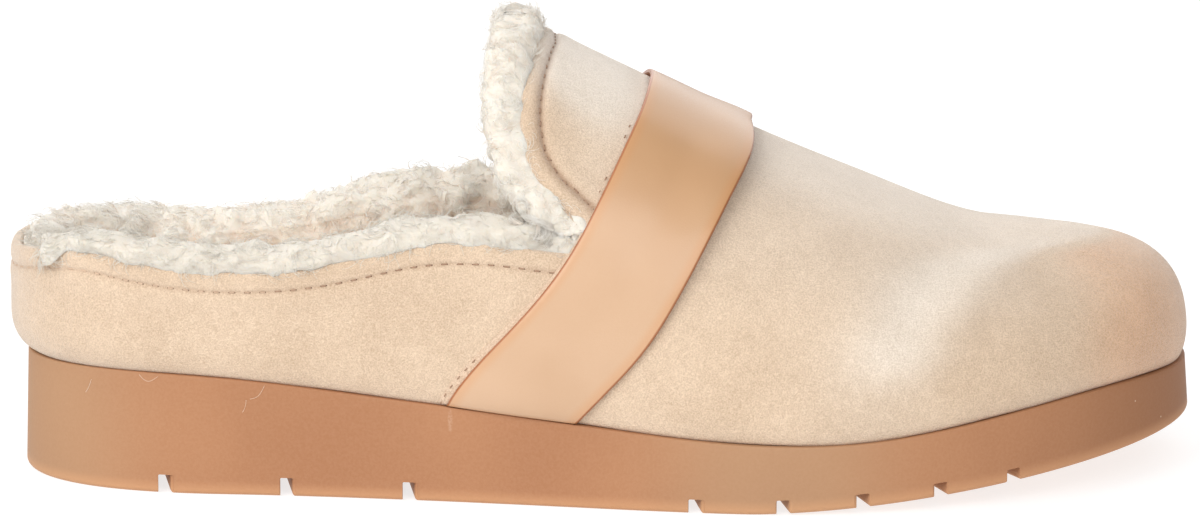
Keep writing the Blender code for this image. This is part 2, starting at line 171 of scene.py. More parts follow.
def read(table, column, at):
    """A column of a table as a smooth curve over the table's first column."""
    return spline([row[0] for row in table], [getattr(row, column) for row in table], at)


def hand_curve(places, ways):
    """Both columns of a list of places as smooth curves, read at these shares of the way along it."""
    knots = np.linspace(0, 1, len(places))
    return [spline(knots, column, ways) for column in zip(*places)]


def path_ways(points):
    """Distances along paths of points, each from its first point."""
    steps = np.linalg.norm(np.diff(points, axis=-2), axis=-1)
    return np.concatenate([np.zeros_like(steps[..., :1]), np.cumsum(steps, axis=-1)], axis=-1)


def on_path(points, ways, at):
    """Places at distances `at` along a path whose points lie at distances `ways`."""
    return np.stack([np.interp(at, ways, points[:, k]) for k in range(3)], axis=-1)


def halve(low, high, below, rounds):
    """The values between low and high up to which `below` holds."""
    for _ in range(rounds):
        middle = (low + high) / 2
        higher = below(middle)
        low, high = np.where(higher, middle, low), np.where(higher, high, middle)
    return (low + high) / 2


def ring(count):
    """Shares and sides round the sole: along the outer side to the toe, and back along the inner side."""
    turn = np.arange(count) * 2 * math.pi / count
    return (1 - np.cos(turn)) / 2, np.where(turn <= math.pi, OUTER, INNER)


def rounded_end(way, power, root):
    return (1 - np.clip(way, 0, 1) ** power) ** root


def half_width(share, side):
    width = np.where(side == OUTER, read(SECTIONS, "outer", share), read(SECTIONS, "inner", share))
    toe_start = np.where(side == OUTER, TOE_ROUND_OUTER, TOE_ROUND_INNER)
    heel = rounded_end((HEEL_ROUND - share) / HEEL_ROUND, HEEL_POWER, HEEL_ROOT)
    toe = rounded_end((share - toe_start) / (1 - toe_start), TOE_POWER, TOE_ROOT)
    return width * heel * toe


def spine(share):
    """Place, lean, height and slope of the ridge that the section at this share rises to."""
    along = HEEL_SPINE + share * (SOLE_LENGTH - HEEL_SPINE - TOE_SPINE)
    place = along / SOLE_LENGTH
    nudge = 0.002
    rise = read(RIDGE, "height", place + nudge) - read(RIDGE, "height", place - nudge)
    slope = rise / (2 * nudge * SOLE_LENGTH)
    return along, read(RIDGE, "lean", place), read(RIDGE, "height", place), slope


def reach(share, side):
    """Plan vector from the ridge to the sole's edge, as its length and direction."""
    along, lean, _, _ = spine(share)
    x = share * SOLE_LENGTH - along
    y = side * half_width(share, side) + read(SECTIONS, "bend", share) - lean
    length = np.hypot(x, y)
    return length, x / length, y / length


def outline(share, side, inset):
    """Plan of the sole, drawn in by `inset`."""
    along, lean, _, _ = spine(share)
    length, way_x, way_y = reach(share, side)
    return along + way_x * (length - inset), lean + way_y * (length - inset)


def section_curve(climb, squareness):
    """A section as shares of its half width and height: (1, 0) at the sole's edge, (0, 1) at the ridge."""
    out = np.cos(np.clip(climb, 0, 1) * math.pi / 2)
    return out, (1 - out**squareness) ** (1 / squareness)


def last_point(share, side, climb):
    """Outer face of the upper: `climb` goes up a section from the sole's edge (0) to the ridge (1)."""
    along, lean, crest, slope = spine(share)
    length, way_x, way_y = reach(share, side)
    foot = read(SECTIONS, "top", share) + GAP
    overhang = read(SECTIONS, "overhang", share)
    out, up = section_curve(climb, read(SECTIONS, "squareness", share))
    widest = length + overhang
    drop = crest + slope * way_x * widest - foot
    z = crest + slope * way_x * widest * out - drop * (1 - up)
    low = 1 - np.clip((z - foot) / TUCK_HEIGHT, 0, 1)
    tuck = (FEATHER_INSET + overhang) * (1 - np.sqrt(1 - low**2))
    away = widest * out - tuck
    return np.stack([along + way_x * away, lean + way_y * away, z], axis=-1)


def unit(vectors):
    return vectors / np.linalg.norm(vectors, axis=-1, keepdims=True).clip(1e-9)


def last_normal(share, side, climb):
    """Outward directions of the last's face."""
    nudge = 0.002
    turn = np.arccos(1 - 2 * share)
    ahead = (1 - np.cos(np.clip(turn + nudge, 0, math.pi))) / 2
    behind = (1 - np.cos(np.clip(turn - nudge, 0, math.pi))) / 2
    around = (last_point(ahead, side, climb) - last_point(behind, side, climb)) * -side[..., None]
    higher, lower = np.clip(climb + nudge, 0, 1), np.clip(climb - nudge, 0, 1)
    return unit(np.cross(around, last_point(share, side, higher) - last_point(share, side, lower)))


def climb_at_height(share, side, height):
    def below(climb):
        return last_point(share, side, climb)[..., 2] < height

    return halve(np.zeros_like(share), np.ones_like(share), below, 36)


def flatten(share, side, climb):
    """The last spread flat: each section is a straight line from the sole's edge to the ridge at y = 0."""
    along, _, _, _ = spine(share)
    length, way_x, way_y = reach(share, side)
    away = length * (1 - climb)
    return along + way_x * away, way_y * away


def unflatten(x, y, side):
    """Share and climb of a place on the flat last."""
    def behind(turn):
        share = (1 - np.cos(turn)) / 2
        along, _, _, _ = spine(share)
        _, way_x, way_y = reach(share, side)
        return side * (way_y * (x - along) - way_x * y) > 0

    share = (1 - np.cos(halve(np.zeros_like(x), np.full_like(x, math.pi), behind, 34))) / 2
    along, _, _, _ = spine(share)
    length, _, _ = reach(share, side)
    return share, 1 - np.hypot(x - along, y) / length


COLLAR_ROWS = (*COLLAR, THROAT._replace(height=spine(THROAT.station)[2]))


def wall(foot, side, rise):
    """Share, side and climb on a line up the upper: rise 0 is the sole at `foot`, rise 1 the collar."""
    station = read(COLLAR_ROWS, "station", foot)
    height = read(COLLAR_ROWS, "height", foot) - np.where(side == INNER, read(COLLAR_ROWS, "drop", foot), 0)
    top_x, top_y = flatten(station, side, climb_at_height(station, side, height))
    low_x, low_y = flatten(foot, side, 0.0)
    x, y = low_x + (top_x - low_x) * rise, low_y + (top_y - low_y) * rise
    _, toe_x, toe_y = reach(1.0, OUTER)
    past_ridge = (y > 0) & (toe_x * y > toe_y * (x - spine(1.0)[0]))
    side = np.where(past_ridge, INNER, OUTER)
    share, climb = unflatten(x, y, side)
    return share, side, climb


def wall_faces(foot, side, rise):
    """Points and outward directions on the upper's outer face."""
    place = wall(foot, side, rise)
    return last_point(*place), last_normal(*place)


def grid_quads(lines, points, closed_round=True, closed_profile=True):
    """Quads between neighbouring lines of points."""
    i = np.arange(lines if closed_round else lines - 1)[:, None]
    j = np.arange(points if closed_profile else points - 1)[None, :]
    here, there, after = i * points, (i + 1) % lines * points, (j + 1) % points
    return np.stack([here + j, there + j, there + after, here + after], axis=-1).reshape(-1, 4)


def soft_bump(distance, width):
    return np.exp(-((distance / width) ** 2))


def smooth_step(value, start, end):
    way = np.clip((value - start) / (end - start), 0, 1)
    return way * way * (3 - 2 * way)


def fade_out(value, start, end):
    return 1 - smooth_step(value, start, end)


def add_mark(mesh, title, values):
    """Named values at a mesh's points, for its material."""
    layer = mesh.attributes.new(title, "FLOAT", "POINT")
    layer.data.foreach_set("value", np.asarray(values, np.float32).ravel())


def mesh_piece(name, points, quads, triangles=(), marks=None):
    """A closed smooth mesh in metres, turned outwards. marks: named values, spread over its points."""
    grid = np.shape(points)[:-1]
    points = np.reshape(points, (-1, 3)) * MM + SHIFT
    quads = np.reshape(np.asarray(quads, np.int64), (-1, 4))
    triangles = np.reshape(np.asarray(triangles, np.int64), (-1, 3))
    halves = np.concatenate([quads[:, [0, 1, 2]], quads[:, [0, 2, 3]], triangles])
    a, b, c = (points[halves[:, k]] for k in range(3))
    if np.einsum("ij,ij->i", a, np.cross(b, c)).sum() < 0:
        quads, triangles = quads[:, ::-1], triangles[:, ::-1]
    corners = np.concatenate([quads.ravel(), triangles.ravel()])
    starts = np.concatenate([np.arange(len(quads)) * 4, len(quads) * 4 + np.arange(len(triangles)) * 3])
    mesh = bpy.data.meshes.new(name)
    mesh.vertices.add(len(points))
    mesh.vertices.foreach_set("co", points.astype(np.float32).ravel())
    mesh.loops.add(len(corners))
    mesh.loops.foreach_set("vertex_index", corners.astype(np.int32))
    mesh.polygons.add(len(starts))
    mesh.polygons.foreach_set("loop_start", starts.astype(np.int32))
    for title, values in (marks or {}).items():
        add_mark(mesh, title, np.broadcast_to(values, grid))
    mesh.update(calc_edges=True)
    mesh.validate()
    mesh.shade_smooth()
    made = bpy.data.objects.new(name, mesh)
    bpy.context.scene.collection.objects.link(made)
    return made


sole_low, sole_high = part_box("outsole")
fine_share, fine_side = ring(PLAN_POINTS)
plan_x, plan_y = outline(fine_share, fine_side, 0.0)
SHIFT = np.array(
    [
        (sole_low.x + sole_high.x) / 2 - (plan_x.min() + plan_x.max()) / 2 * MM,
        (sole_low.y + sole_high.y) / 2 - (plan_y.min() + plan_y.max()) / 2 * MM,
        0.0,
    ]
)

column_foot, column_side = (row[:, None] for row in ring(UPPER_COLUMNS))
trial_rise = np.linspace(0, 1, TRIAL_ROWS)[None, :] ** ROW_CROWDING
trial = last_point(*wall(column_foot, column_side, trial_rise))
climbed = path_ways(trial)
wall_length = climbed[:, -1:]


def rise_below_edge(distance):
    """Rise on each wall line at these distances below the collar."""
    up = wall_length - distance
    return np.stack([np.interp(up[i], climbed[i], trial_rise[0]) for i in range(UPPER_COLUMNS)])


crowd = 1 - (1 - np.arange(1, LOW_ROWS + 1)[None, :] / LOW_ROWS) ** ROW_CROWDING
fold_rows = np.broadcast_to(FOLD_DISTANCES, (UPPER_COLUMNS, len(FOLD_DISTANCES)))
low_rows = FOLD_DISTANCES[-1] + (wall_length - FOLD_DISTANCES[-1]) * crowd
below_edge = np.concatenate([fold_rows, low_rows], axis=1)
suede_place = wall(column_foot, column_side, rise_below_edge(below_edge))
suede, suede_normal = last_point(*suede_place), last_normal(*suede_place)

collar_edge = suede[:, 0]
edge_step = np.roll(collar_edge, -1, 0) - collar_edge
edge_fine = [collar_edge + edge_step * k / EDGE_PARTS for k in range(EDGE_PARTS)]
edge_fine = np.stack(edge_fine, axis=1).reshape(-1, 3)
edge_way = path_ways(edge_fine)
edge_tree = kdtree.KDTree(len(edge_fine))
for number, place in enumerate(edge_fine):
    edge_tree.insert(place, number)
edge_tree.balance()
nearest = [edge_tree.find(place) for place in suede.reshape(-1, 3)]
from_edge = np.array([found[2] for found in nearest]).reshape(suede.shape[:2])
along_edge = edge_way[[found[1] for found in nearest]].reshape(suede.shape[:2])

at_throat = smooth_step(column_foot, THROAT_START, THROAT_FULL)


def relief(band):
    """Height of a soft band along the turned edge."""
    width = band.width + band.wider * at_throat
    return (band.rise + band.at_throat * at_throat) * soft_bump(from_edge - band.below, width)


trough = relief(STITCH_TROUGH)
pucker = PUCKER_HEIGHT * np.cos(along_edge * 2 * math.pi / PUCKER_PITCH)
pucker = pucker * soft_bump(from_edge - STITCH_LINE, PUCKER_WIDTH)
raised = relief(FOLD_PUFF) - trough + relief(BELOW_STITCHES) + pucker
for crease in CREASES:
    ways = np.linspace(0, 1, STROKE_POINTS)
    fade = np.clip((1 - ways) / FADE_END, 0, 1) * np.clip(ways / FADE_START, 0, 1)
    line_share, line_climb = hand_curve(crease.line, ways)
    for flank in (OUTER, INNER):
        stroke = last_point(line_share, flank, line_climb)
        away = np.linalg.norm(suede.reshape(-1, 1, 3) - stroke[None], axis=-1)
        depth = crease.depth * fade[away.argmin(axis=1)]
        raised += (depth * soft_bump(away.min(axis=1), crease.width)).reshape(raised.shape)
waver = np.array([noise.noise(Vector(place) * WAVER_SCALE) for place in suede.reshape(-1, 3)])
raised += WAVER_HEIGHT * waver.reshape(raised.shape) * smooth_step(from_edge, *WAVER_ZONE)
turned = FOLD_RADIUS - np.sqrt(FOLD_RADIUS**2 - (FOLD_RADIUS - from_edge).clip(0) ** 2)
outer_face = suede + suede_normal * (raised - turned)[..., None]
above_sole = wall_length - below_edge
outer_face[..., 2] -= (GAP - SEAT_GAP) * fade_out(above_sole, 0.0, SEAT_HEIGHT)

# How the suede is painted: 1 paler, -1 darker. This is partly brushed nap, and partly painted highlight on
# the top, the vamp and the ridge's lit side, with painted shade on the toe, which faces away from the light.
# The ridge is the first crease.
suede_share, _, suede_climb = suede_place
ridge_line = np.array(CREASES[0].line[:0:-1])
past_ridge = suede_share - np.interp(suede_climb, ridge_line[:, 1], ridge_line[:, 0])
on_vamp = smooth_step(suede_climb, 0.05, 0.5) * smooth_step(suede_share, 0.42, 0.5)
on_top = smooth_step(suede_climb, 0.55, 0.8)
behind_ridge = soft_bump(past_ridge + 0.035, 0.045) * smooth_step(suede_climb, 0.08, 0.25) * (1 - on_top)
on_toe = smooth_step(past_ridge, -0.012, 0.03) * fade_out(suede_climb, 0.62, 0.74)
toe_tip = on_toe * smooth_step(suede_share, 0.87, 0.97)
vamp_foot = soft_bump(suede_climb - 0.1, 0.15) * soft_bump(suede_share - 0.72, 0.07)
below_throat = smooth_step(suede_climb, 0.5, 0.75) * soft_bump(suede_share - 0.47, 0.05)
nap_and_painted_light = 0.0
for nap_and_light, area in (
    (0.32, on_vamp),
    (0.25, on_top),
    (0.55, behind_ridge),
    (-0.12, on_toe),
    (-0.78, toe_tip),
    (0.32, vamp_foot),
    (0.80, below_throat),
):
    nap_and_painted_light = nap_and_painted_light + nap_and_light * area

inner_low = (wall_length - INNER_DISTANCES[-1]) * np.linspace(0, 1, INNER_ROWS + 1)[None, 1:]
inner_rows = np.broadcast_to(INNER_DISTANCES, (UPPER_COLUMNS, len(INNER_DISTANCES)))
inner_rows = np.concatenate([inner_rows, INNER_DISTANCES[-1] + inner_low], axis=1)
inner_face, inner_normal = wall_faces(column_foot, column_side, rise_below_edge(inner_rows))
thickness = FOLD_RADIUS + np.sqrt(FOLD_RADIUS**2 - (FOLD_RADIUS - inner_rows).clip(0) ** 2)
thickness = np.where(inner_rows > FOLD_END, WALL, thickness)
inner_face = inner_face - inner_normal * thickness[..., None]

upper_profile = np.concatenate([outer_face[:, ::-1], inner_face], axis=1)
# Painted shade in the stitch trough and beside it up the throat: the deeper the trough, the darker.
painted_trough_shade = (trough / FULLY_SHADED_DEPTH + relief(THROAT_SHADE)).clip(0, 1)
upper_marks = {}
for title, values, inside in (
    ("painted_trough_shade", painted_trough_shade, 0.0),
    ("above_sole", above_sole.clip(0, FAR), FAR),
    ("nap_and_painted_light", nap_and_painted_light, 0.0),
):
    upper_marks[title] = np.concatenate([values[:, ::-1], np.full(inner_rows.shape, inside)], axis=1)
upper = mesh_piece(
    "suede_upper", upper_profile, grid_quads(UPPER_COLUMNS, upper_profile.shape[1]), marks=upper_marks
)


def node(tree, kind, settings=None, **inputs):
    """A shader node. Inputs are values or sockets; an input's name has _ for a space."""
    made = tree.nodes.new("ShaderNode" + kind)
    for setting, value in (settings or {}).items():
        setattr(made, setting, value)
    fill_inputs(tree, made, **inputs)
    return made


def fill_inputs(tree, made, **inputs):
    """Sets a node's inputs to values, or links them to sockets."""
    for title, value in inputs.items():
        link_or_set(tree, made.inputs[title.replace("_", " ")], value)


def link_or_set(tree, socket, value):
    if isinstance(value, bpy.types.NodeSocket):
        tree.links.new(value, socket)
    else:
        socket.default_value = value


def calculate(tree, operation, first, second):
    """Output of a math node on two values or sockets."""
    made = tree.nodes.new("ShaderNodeMath")
    made.operation = operation
    link_or_set(tree, made.inputs[0], first)
    link_or_set(tree, made.inputs[1], second)
    return made.outputs[0]


def add(tree, first, second):
    return calculate(tree, "ADD", first, second)


def weigh(tree, value, weight):
    return calculate(tree, "MULTIPLY", value, weight)


def blend_colours(tree, factor, first, second, mode="MIX"):
    """Output of a colour mix; colours are linear RGB triples or sockets."""
    made = tree.nodes.new("ShaderNodeMix")
    made.data_type = "RGBA"
    made.blend_type = mode
    link_or_set(tree, made.inputs[0], factor)
    for place, colour in ((6, first), (7, second)):
        link_or_set(tree, made.inputs[place], (*colour, 1.0) if isinstance(colour, tuple) else colour)
    return made.outputs[2]


def place_on(tree):
    """Places on the piece, in its own frame."""
    return node(tree, "TexCoord").outputs["Object"]


def mark(tree, title):
    """Values that the mesh carries under this name."""
    return node(tree, "Attribute", {"attribute_name": title}).outputs["Fac"]


def spread(tree, value, low, high, to_low=0.0, to_high=1.0):
    """A value spread from one range to another, clamped and smoothed."""
    made = node(
        tree,
        "MapRange",
        {"interpolation_type": "SMOOTHSTEP"},
        Value=value,
        From_Min=low,
        From_Max=high,
        To_Min=to_low,
        To_Max=to_high,
    )
    return made.outputs[0]


def new_group(name, inputs, outputs):
    """An empty shader group with named number sockets; returns its tree, input node and output node."""
    tree = bpy.data.node_groups.new(name, "ShaderNodeTree")
    for title, value in inputs.items():
        tree.interface.new_socket(title, in_out="INPUT", socket_type="NodeSocketFloat").default_value = value
    for title in outputs:
        tree.interface.new_socket(title, in_out="OUTPUT", socket_type="NodeSocketFloat")
    return tree, tree.nodes.new("NodeGroupInput").outputs, tree.nodes.new("NodeGroupOutput").inputs


# Fine grain of a surface: Grain is a speckle for colour and bump, Patch a soft cloud for uneven tone.
surface_grain, taken, given = new_group(
    "surface_grain", {"Grain Scale": 1800.0, "Patch Scale": 60.0, "Bend": 0.0}, ("Grain", "Patch")
)
place = place_on(surface_grain)
speckle = node(
    surface_grain,
    "TexNoise",
    Vector=place,
    Scale=taken["Grain Scale"],
    Detail=3.0,
    Roughness=0.65,
    Distortion=taken["Bend"],
)
cloud = node(surface_grain, "TexNoise", Vector=place, Scale=taken["Patch Scale"], Detail=2.0, Roughness=0.5)
surface_grain.links.new(spread(surface_grain, speckle.outputs["Fac"], 0.28, 0.72), given["Grain"])
surface_grain.links.new(spread(surface_grain, cloud.outputs["Fac"], 0.3, 0.7), given["Patch"])


def grain_node(tree, grain_scale, patch_scale, bend=0.0):
    made = tree.nodes.new("ShaderNodeGroup")
    made.node_tree = surface_grain
    made.inputs["Grain Scale"].default_value = grain_scale
    made.inputs["Patch Scale"].default_value = patch_scale
    made.inputs["Bend"].default_value = bend
    return made.outputs


def new_material(name):
    made = bpy.data.materials.new(name)
    made.use_nodes = True
    return made, made.node_tree, made.node_tree.nodes["Principled BSDF"]


def bump(tree, height, distance, strength=1.0):
    """Normal from a height between 0 and 1; distance in millimetres."""
    return node(tree, "Bump", Height=height, Distance=distance * MM, Strength=strength).outputs["Normal"]


suede_cloth, tree, shader = new_material("brushed_suede")
grain = grain_node(tree, 2900.0, 55.0)
nap = node(tree, "TexNoise", Vector=place_on(tree), Scale=420.0, Detail=4.0, Distortion=0.6)
nap_tone = spread(tree, nap.outputs["Fac"], 0.3, 0.7)
tone = add(tree, weigh(tree, grain["Grain"], 0.7), weigh(tree, nap_tone, 0.12))
tone = add(tree, tone, weigh(tree, grain["Patch"], 0.18))
colour = blend_colours(tree, tone, (0.520, 0.370, 0.248), (0.825, 0.646, 0.480))
# pale and dark are lit and shaded copies of the suede, used for its brushed nap and for painted highlight
# and shade.
pale = blend_colours(tree, tone, (0.660, 0.555, 0.445), (0.950, 0.845, 0.735))
dark = blend_colours(tree, tone, (0.545, 0.305, 0.170), (0.815, 0.522, 0.330))
# Partly brushed nap, partly painted light: paler on the top and the ridge's lit side, darker on the toe.
nap_and_light = mark(tree, "nap_and_painted_light")
colour = blend_colours(tree, spread(tree, nap_and_light, 0.0, 1.0), colour, pale)
colour = blend_colours(tree, spread(tree, weigh(tree, nap_and_light, -1.0), 0.0, 0.9), colour, dark)
# Painted shade: the suede darkens to brown in the stitch trough.
colour = blend_colours(tree, weigh(tree, mark(tree, "painted_trough_shade"), 0.65), colour, (0.30, 0.16, 0.09))
sole_line = spread(tree, mark(tree, "above_sole"), 0.0, 1.0, 0.4, 0.0)
colour = blend_colours(tree, sole_line, colour, (0.45, 0.26, 0.16))
fill_inputs(
    tree,
    shader,
    Base_Color=colour,
    Roughness=spread(tree, grain["Grain"], 0.0, 1.0, 0.96, 0.80),
    Normal=bump(tree, add(tree, grain["Grain"], weigh(tree, nap_tone, 0.8)), 0.14, 0.8),
    Specular_IOR_Level=0.25,
    Sheen_Weight=0.7,
    Sheen_Roughness=0.45,
    Sheen_Tint=(1.0, 0.96, 0.92, 1.0),
)
upper.data.materials.append(suede_cloth)
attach(upper, "root")
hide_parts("upper")


# Collar stitches: one row of lockstitch that holds the turned edge down. Each is a tube in the pulled-down
# line that dips in at both ends. Its colour is painted lit at the heel and shaded towards the strap, and
# painted dark at the ends as shade in the needle holes.
STITCH_PITCH, STITCH_LENGTH = 3.4, 1.35
STITCH_LIFT, STITCH_SINK = 0.14, 0.22
THREAD_RADIUS, THREAD_SIDES = 0.15, 8
STITCH_RINGS, FIRST_STITCH = 7, 1.0
# Where, along the shoe, the thread's ends are painted dark as shade in the needle holes, where the thread is
# painted from lit to shaded, and how uneven its tone is
DARK_ENDS, THREAD_INTO_SHADE, UNEVEN = (4.0, 20.0), (30.0, 75.0), 0.2
upper_surface = BVHTree.FromObject(upper, bpy.context.evaluated_depsgraph_get())


def past_edge(edge, normal):
    """Directions along the wall and square to its upper edge, out into the opening."""
    around = np.roll(edge, -1, axis=0) - np.roll(edge, 1, axis=0)
    return unit(np.cross(normal, around))


def on_suede(place):
    """The nearest place on the finished suede and its direction, in millimetres."""
    found, direction, _, _ = upper_surface.find_nearest(Vector(np.asarray(place) * MM + SHIFT))
    return (np.array(found) - SHIFT) / MM, np.array(direction)


def end_fans(lines, points):
    """Triangles that close both ends of a tube of lines of points."""
    fan = np.array([(0, k, k + 1) for k in range(1, points - 1)])
    return np.concatenate([fan, fan[:, ::-1] + (lines - 1) * points])


def tubes(paths, radius, sides, up):
    """Closed tubes round many paths at once. paths: (tube, ring, 3). radius: one, or (tube, ring)."""
    count, rings = paths.shape[:2]
    radius = np.broadcast_to(radius, (count, rings))
    ahead = unit(np.gradient(paths, axis=1))
    left = unit(np.cross(ahead, up))
    top = np.cross(left, ahead)
    angle = np.arange(sides) * 2 * math.pi / sides
    spokes = np.cos(angle)[:, None] * left[:, :, None] + np.sin(angle)[:, None] * top[:, :, None]
    points = paths[:, :, None] + spokes * radius[:, :, None, None]
    first = (np.arange(count) * rings * sides)[:, None, None]
    quads = first + grid_quads(rings, sides, closed_round=False)[None]
    return points, quads, first + end_fans(rings, sides)[None]


stitch_base = collar_edge - past_edge(collar_edge, suede_normal[:, 0]) * STITCH_LINE
stitch_base = np.array([on_suede(place)[0] for place in stitch_base])
stitch_way = path_ways(stitch_base)
ring_way = np.linspace(0, 1, STITCH_RINGS)
to_end = np.abs(2 * ring_way - 1)
stitch_paths, stitch_ups = [], []
for start in np.arange(FIRST_STITCH, stitch_way[-1] - STITCH_LENGTH, STITCH_PITCH):
    line = on_path(stitch_base, stitch_way, start + ring_way * STITCH_LENGTH)
    placed = [on_suede(place) for place in line]
    lift = STITCH_LIFT - STITCH_SINK * to_end**3
    stitch_paths.append([place + direction * rise for (place, direction), rise in zip(placed, lift)])
    stitch_ups.append([direction for _, direction in placed])
stitch_paths, stitch_ups = np.array(stitch_paths), np.array(stitch_ups)
stitch_x = stitch_paths[:, :1, :1]
uneven = np.random.default_rng(5).uniform(-UNEVEN, UNEVEN, stitch_x.shape)
# Painted light and shade on the thread: dark ends as shade in the needle holes, and a tone going from lit at
# the heel to shaded towards the strap, with random unevenness.
stitch_marks = {
    "needle_hole_shade": to_end[None, :, None] * smooth_step(stitch_x, *DARK_ENDS),
    "painted_light_and_thread_tone": fade_out(stitch_x, *THREAD_INTO_SHADE) + uneven,
}
stitch_tubes = tubes(stitch_paths, THREAD_RADIUS, THREAD_SIDES, stitch_ups)
stitches = mesh_piece("collar_stitches", *stitch_tubes, marks=stitch_marks)

thread, tree, shader = new_material("painted_light_thread")
grain = grain_node(tree, 5000.0, 300.0)
# Painted light: lighter at the heel, darker towards the strap, plus random uneven tone and grain.
painted_light_and_grain = add(tree, mark(tree, "painted_light_and_thread_tone"), weigh(tree, grain["Grain"], 0.3))
colour = blend_colours(tree, spread(tree, painted_light_and_grain, 0.0, 1.2), (0.37, 0.225, 0.145), (0.66, 0.48, 0.345))
# Painted shade: the thread's ends darken where they sink into the needle holes.
colour = blend_colours(tree, spread(tree, mark(tree, "needle_hole_shade"), 0.55, 0.95), colour, (0.13, 0.062, 0.034))
fill_inputs(tree, shader, Base_Color=colour, Roughness=0.75, Normal=bump(tree, grain["Grain"], 0.05))
stitches.data.materials.append(thread)
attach(stitches, "root")


# Fleece lining: long curled pile knitted on a backing, glued inside the upper and rolled out over its edge.
# Its bulk is one closed body, puffed up by noise; the fibres on it are pieces of their own.
FLEECE_GAP, INSOLE_THICKNESS = 0.6, 6.5
FLEECE_DEEP, FLEECE_AT_COLLAR, FLEECE_FULLER = 6.5, 9.0, 2.6
FLEECE_COLUMNS, ROLL_STEPS, FLEECE_ROWS = 600, 24, 22
LINED_ROWS = ROLL_STEPS + FLEECE_ROWS
BACK_ROWS = (0.0, 0.5, 0.9)
PUFF_SIZE, FINER_PUFFS, PUFF_MIDDLE = 9.0, 2.3, 0.64
PUFF_HEIGHT, PUFF_INNER, PUFF_HEEL, PUFF_CORNER = 1.8, 0.9, 0.5, 0.9
INNER_ROLL, FOOT_EASE = 0.6, 0.05
WAVE_SIZE, WAVE_COVER, WAVE_DROP = 5.0, 1.5, 1.6
SPILL_FOOT, SPILL_WIDTH = 0.036, 0.010
SQUEEZE, SQUEEZE_FOOT, SQUEEZE_WIDTH = 0.13, 0.78, 0.13
# Where the wall lines that end beside the strap leave the sole, and how much fuller the roll is there
STRAP_FEET, STRAP_FEET_WIDTH = (0.44, 0.63), 0.05
FULLER_BY_STRAP, COVER_BY_STRAP = 0.4, 0.5
# How far the roll draws back from the suede's face at the heel's back
HEEL_BARE, HEEL_BARE_WIDTH = 2.6, 0.03
# The roll's section, from the suede's outer face over the edge and into the shoe. rise: past the edge.
# depth: behind the outer face. at_top: how much less deep up the throat. wave: share of the edge's waves.
# drop, spill: how much lower and less deep where the fleece spills over at the heel.
Roll = namedtuple("Roll", "rise depth at_top wave drop spill")
FLEECE_ROLL = (
    Roll(-0.4, 1.1, 0.0, 0.0, 0.0, 2.0),
    Roll(-1.0, 0.15, 1.0, 1.0, 3.6, 2.6),
    Roll(1.9, -1.0, 2.8, 0.7, 2.2, 3.4),
    Roll(5.8, -0.8, 2.4, 0.3, 0.6, 2.4),
    Roll(8.8, 2.2, 3.4, 0.0, 0.0, 1.0),
    Roll(9.2, 6.0, 2.5, 0.0, 0.0, 0.0),
    Roll(6.6, 9.2, 0.9, 0.0, 0.0, 0.0),
    Roll(2.8, 10.4, 0.0, 0.0, 0.0, 0.0),
)


def rise_at_height(foot, side, height):
    """How far up its wall line the upper reaches this height."""
    def below(rise):
        return last_point(*wall(foot, side, rise))[..., 2] < height

    return halve(np.zeros_like(foot), np.ones_like(foot), below, 20)


def grid_normals(points, up):
    """Directions out of a grid that is closed both ways. up: where the top of its roll faces."""
    round_it = np.roll(points, -1, 0) - np.roll(points, 1, 0)
    along_it = np.roll(points, -1, 1) - np.roll(points, 1, 1)
    out = unit(np.cross(round_it, along_it))
    return out * np.sign(np.sum(out[:, ROLL_STEPS // 2] * up))


def puffs(points):
    """Soft puffs of pile: 0 in the creases between them, about 1 at their tops."""
    places = [Vector(place) for place in points.reshape(-1, 3)]
    big = np.array([noise.noise(place / PUFF_SIZE) for place in places])
    small = np.array([noise.noise(place / PUFF_SIZE * FINER_PUFFS) for place in places])
    height = 1.4 * np.sqrt(big**2 + 0.006) + 1.0 * np.sqrt(small**2 + 0.004)
    return height.reshape(points.shape[:2]).clip(0, 1.2)


foot, flank = (row[:, None] for row in ring(FLEECE_COLUMNS))
floor = read(SECTIONS, "top", foot) + INSOLE_THICKNESS + GAP
start = rise_at_height(foot, flank, floor + GAP)
edge, edge_normal = wall_faces(foot, flank, np.ones_like(foot))
edge_up = past_edge(edge, edge_normal)
on_outer = flank == OUTER
inner_share = np.where(on_outer, 0.0, smooth_step(foot, 0.0, 0.12) * fade_out(foot, 0.88, 1.0))
eased_foot = 1 + FOOT_EASE - np.hypot(1 - foot, FOOT_EASE)
by_strap = sum(soft_bump(foot - place, STRAP_FEET_WIDTH) for place in STRAP_FEET)
scale = read(COLLAR_ROWS, "roll", eased_foot) * (1 + (INNER_ROLL - 1) * inner_share)
scale = scale * (1 + FULLER_BY_STRAP * by_strap)
edge_wave = np.array([noise.noise(Vector(place) / WAVE_SIZE) for place in edge[:, 0]])[:, None]
edge_wave = edge_wave * smooth_step(foot, 0.05, 0.12)
cover = read(COLLAR_ROWS, "cover", eased_foot) + COVER_BY_STRAP * by_strap
cover = cover - HEEL_BARE * soft_bump(foot, HEEL_BARE_WIDTH) + WAVE_COVER * edge_wave
at_top = smooth_step(foot, 0.84, 1.0)
squeeze = 1 - SQUEEZE * soft_bump(foot - SQUEEZE_FOOT, SQUEEZE_WIDTH)
spill = np.where(on_outer, soft_bump(foot - SPILL_FOOT, SPILL_WIDTH), 0.0)
behind = WALL + FLEECE_GAP
section = Roll(*np.array(FLEECE_ROLL).T[:, None])
roll_rise = section.rise * scale - section.wave * WAVE_DROP * edge_wave - section.drop * spill
roll_depth = np.maximum(section.depth, -cover) * squeeze - section.at_top * at_top - section.spill * spill
both_ends = ((0, 0), (1, 1))
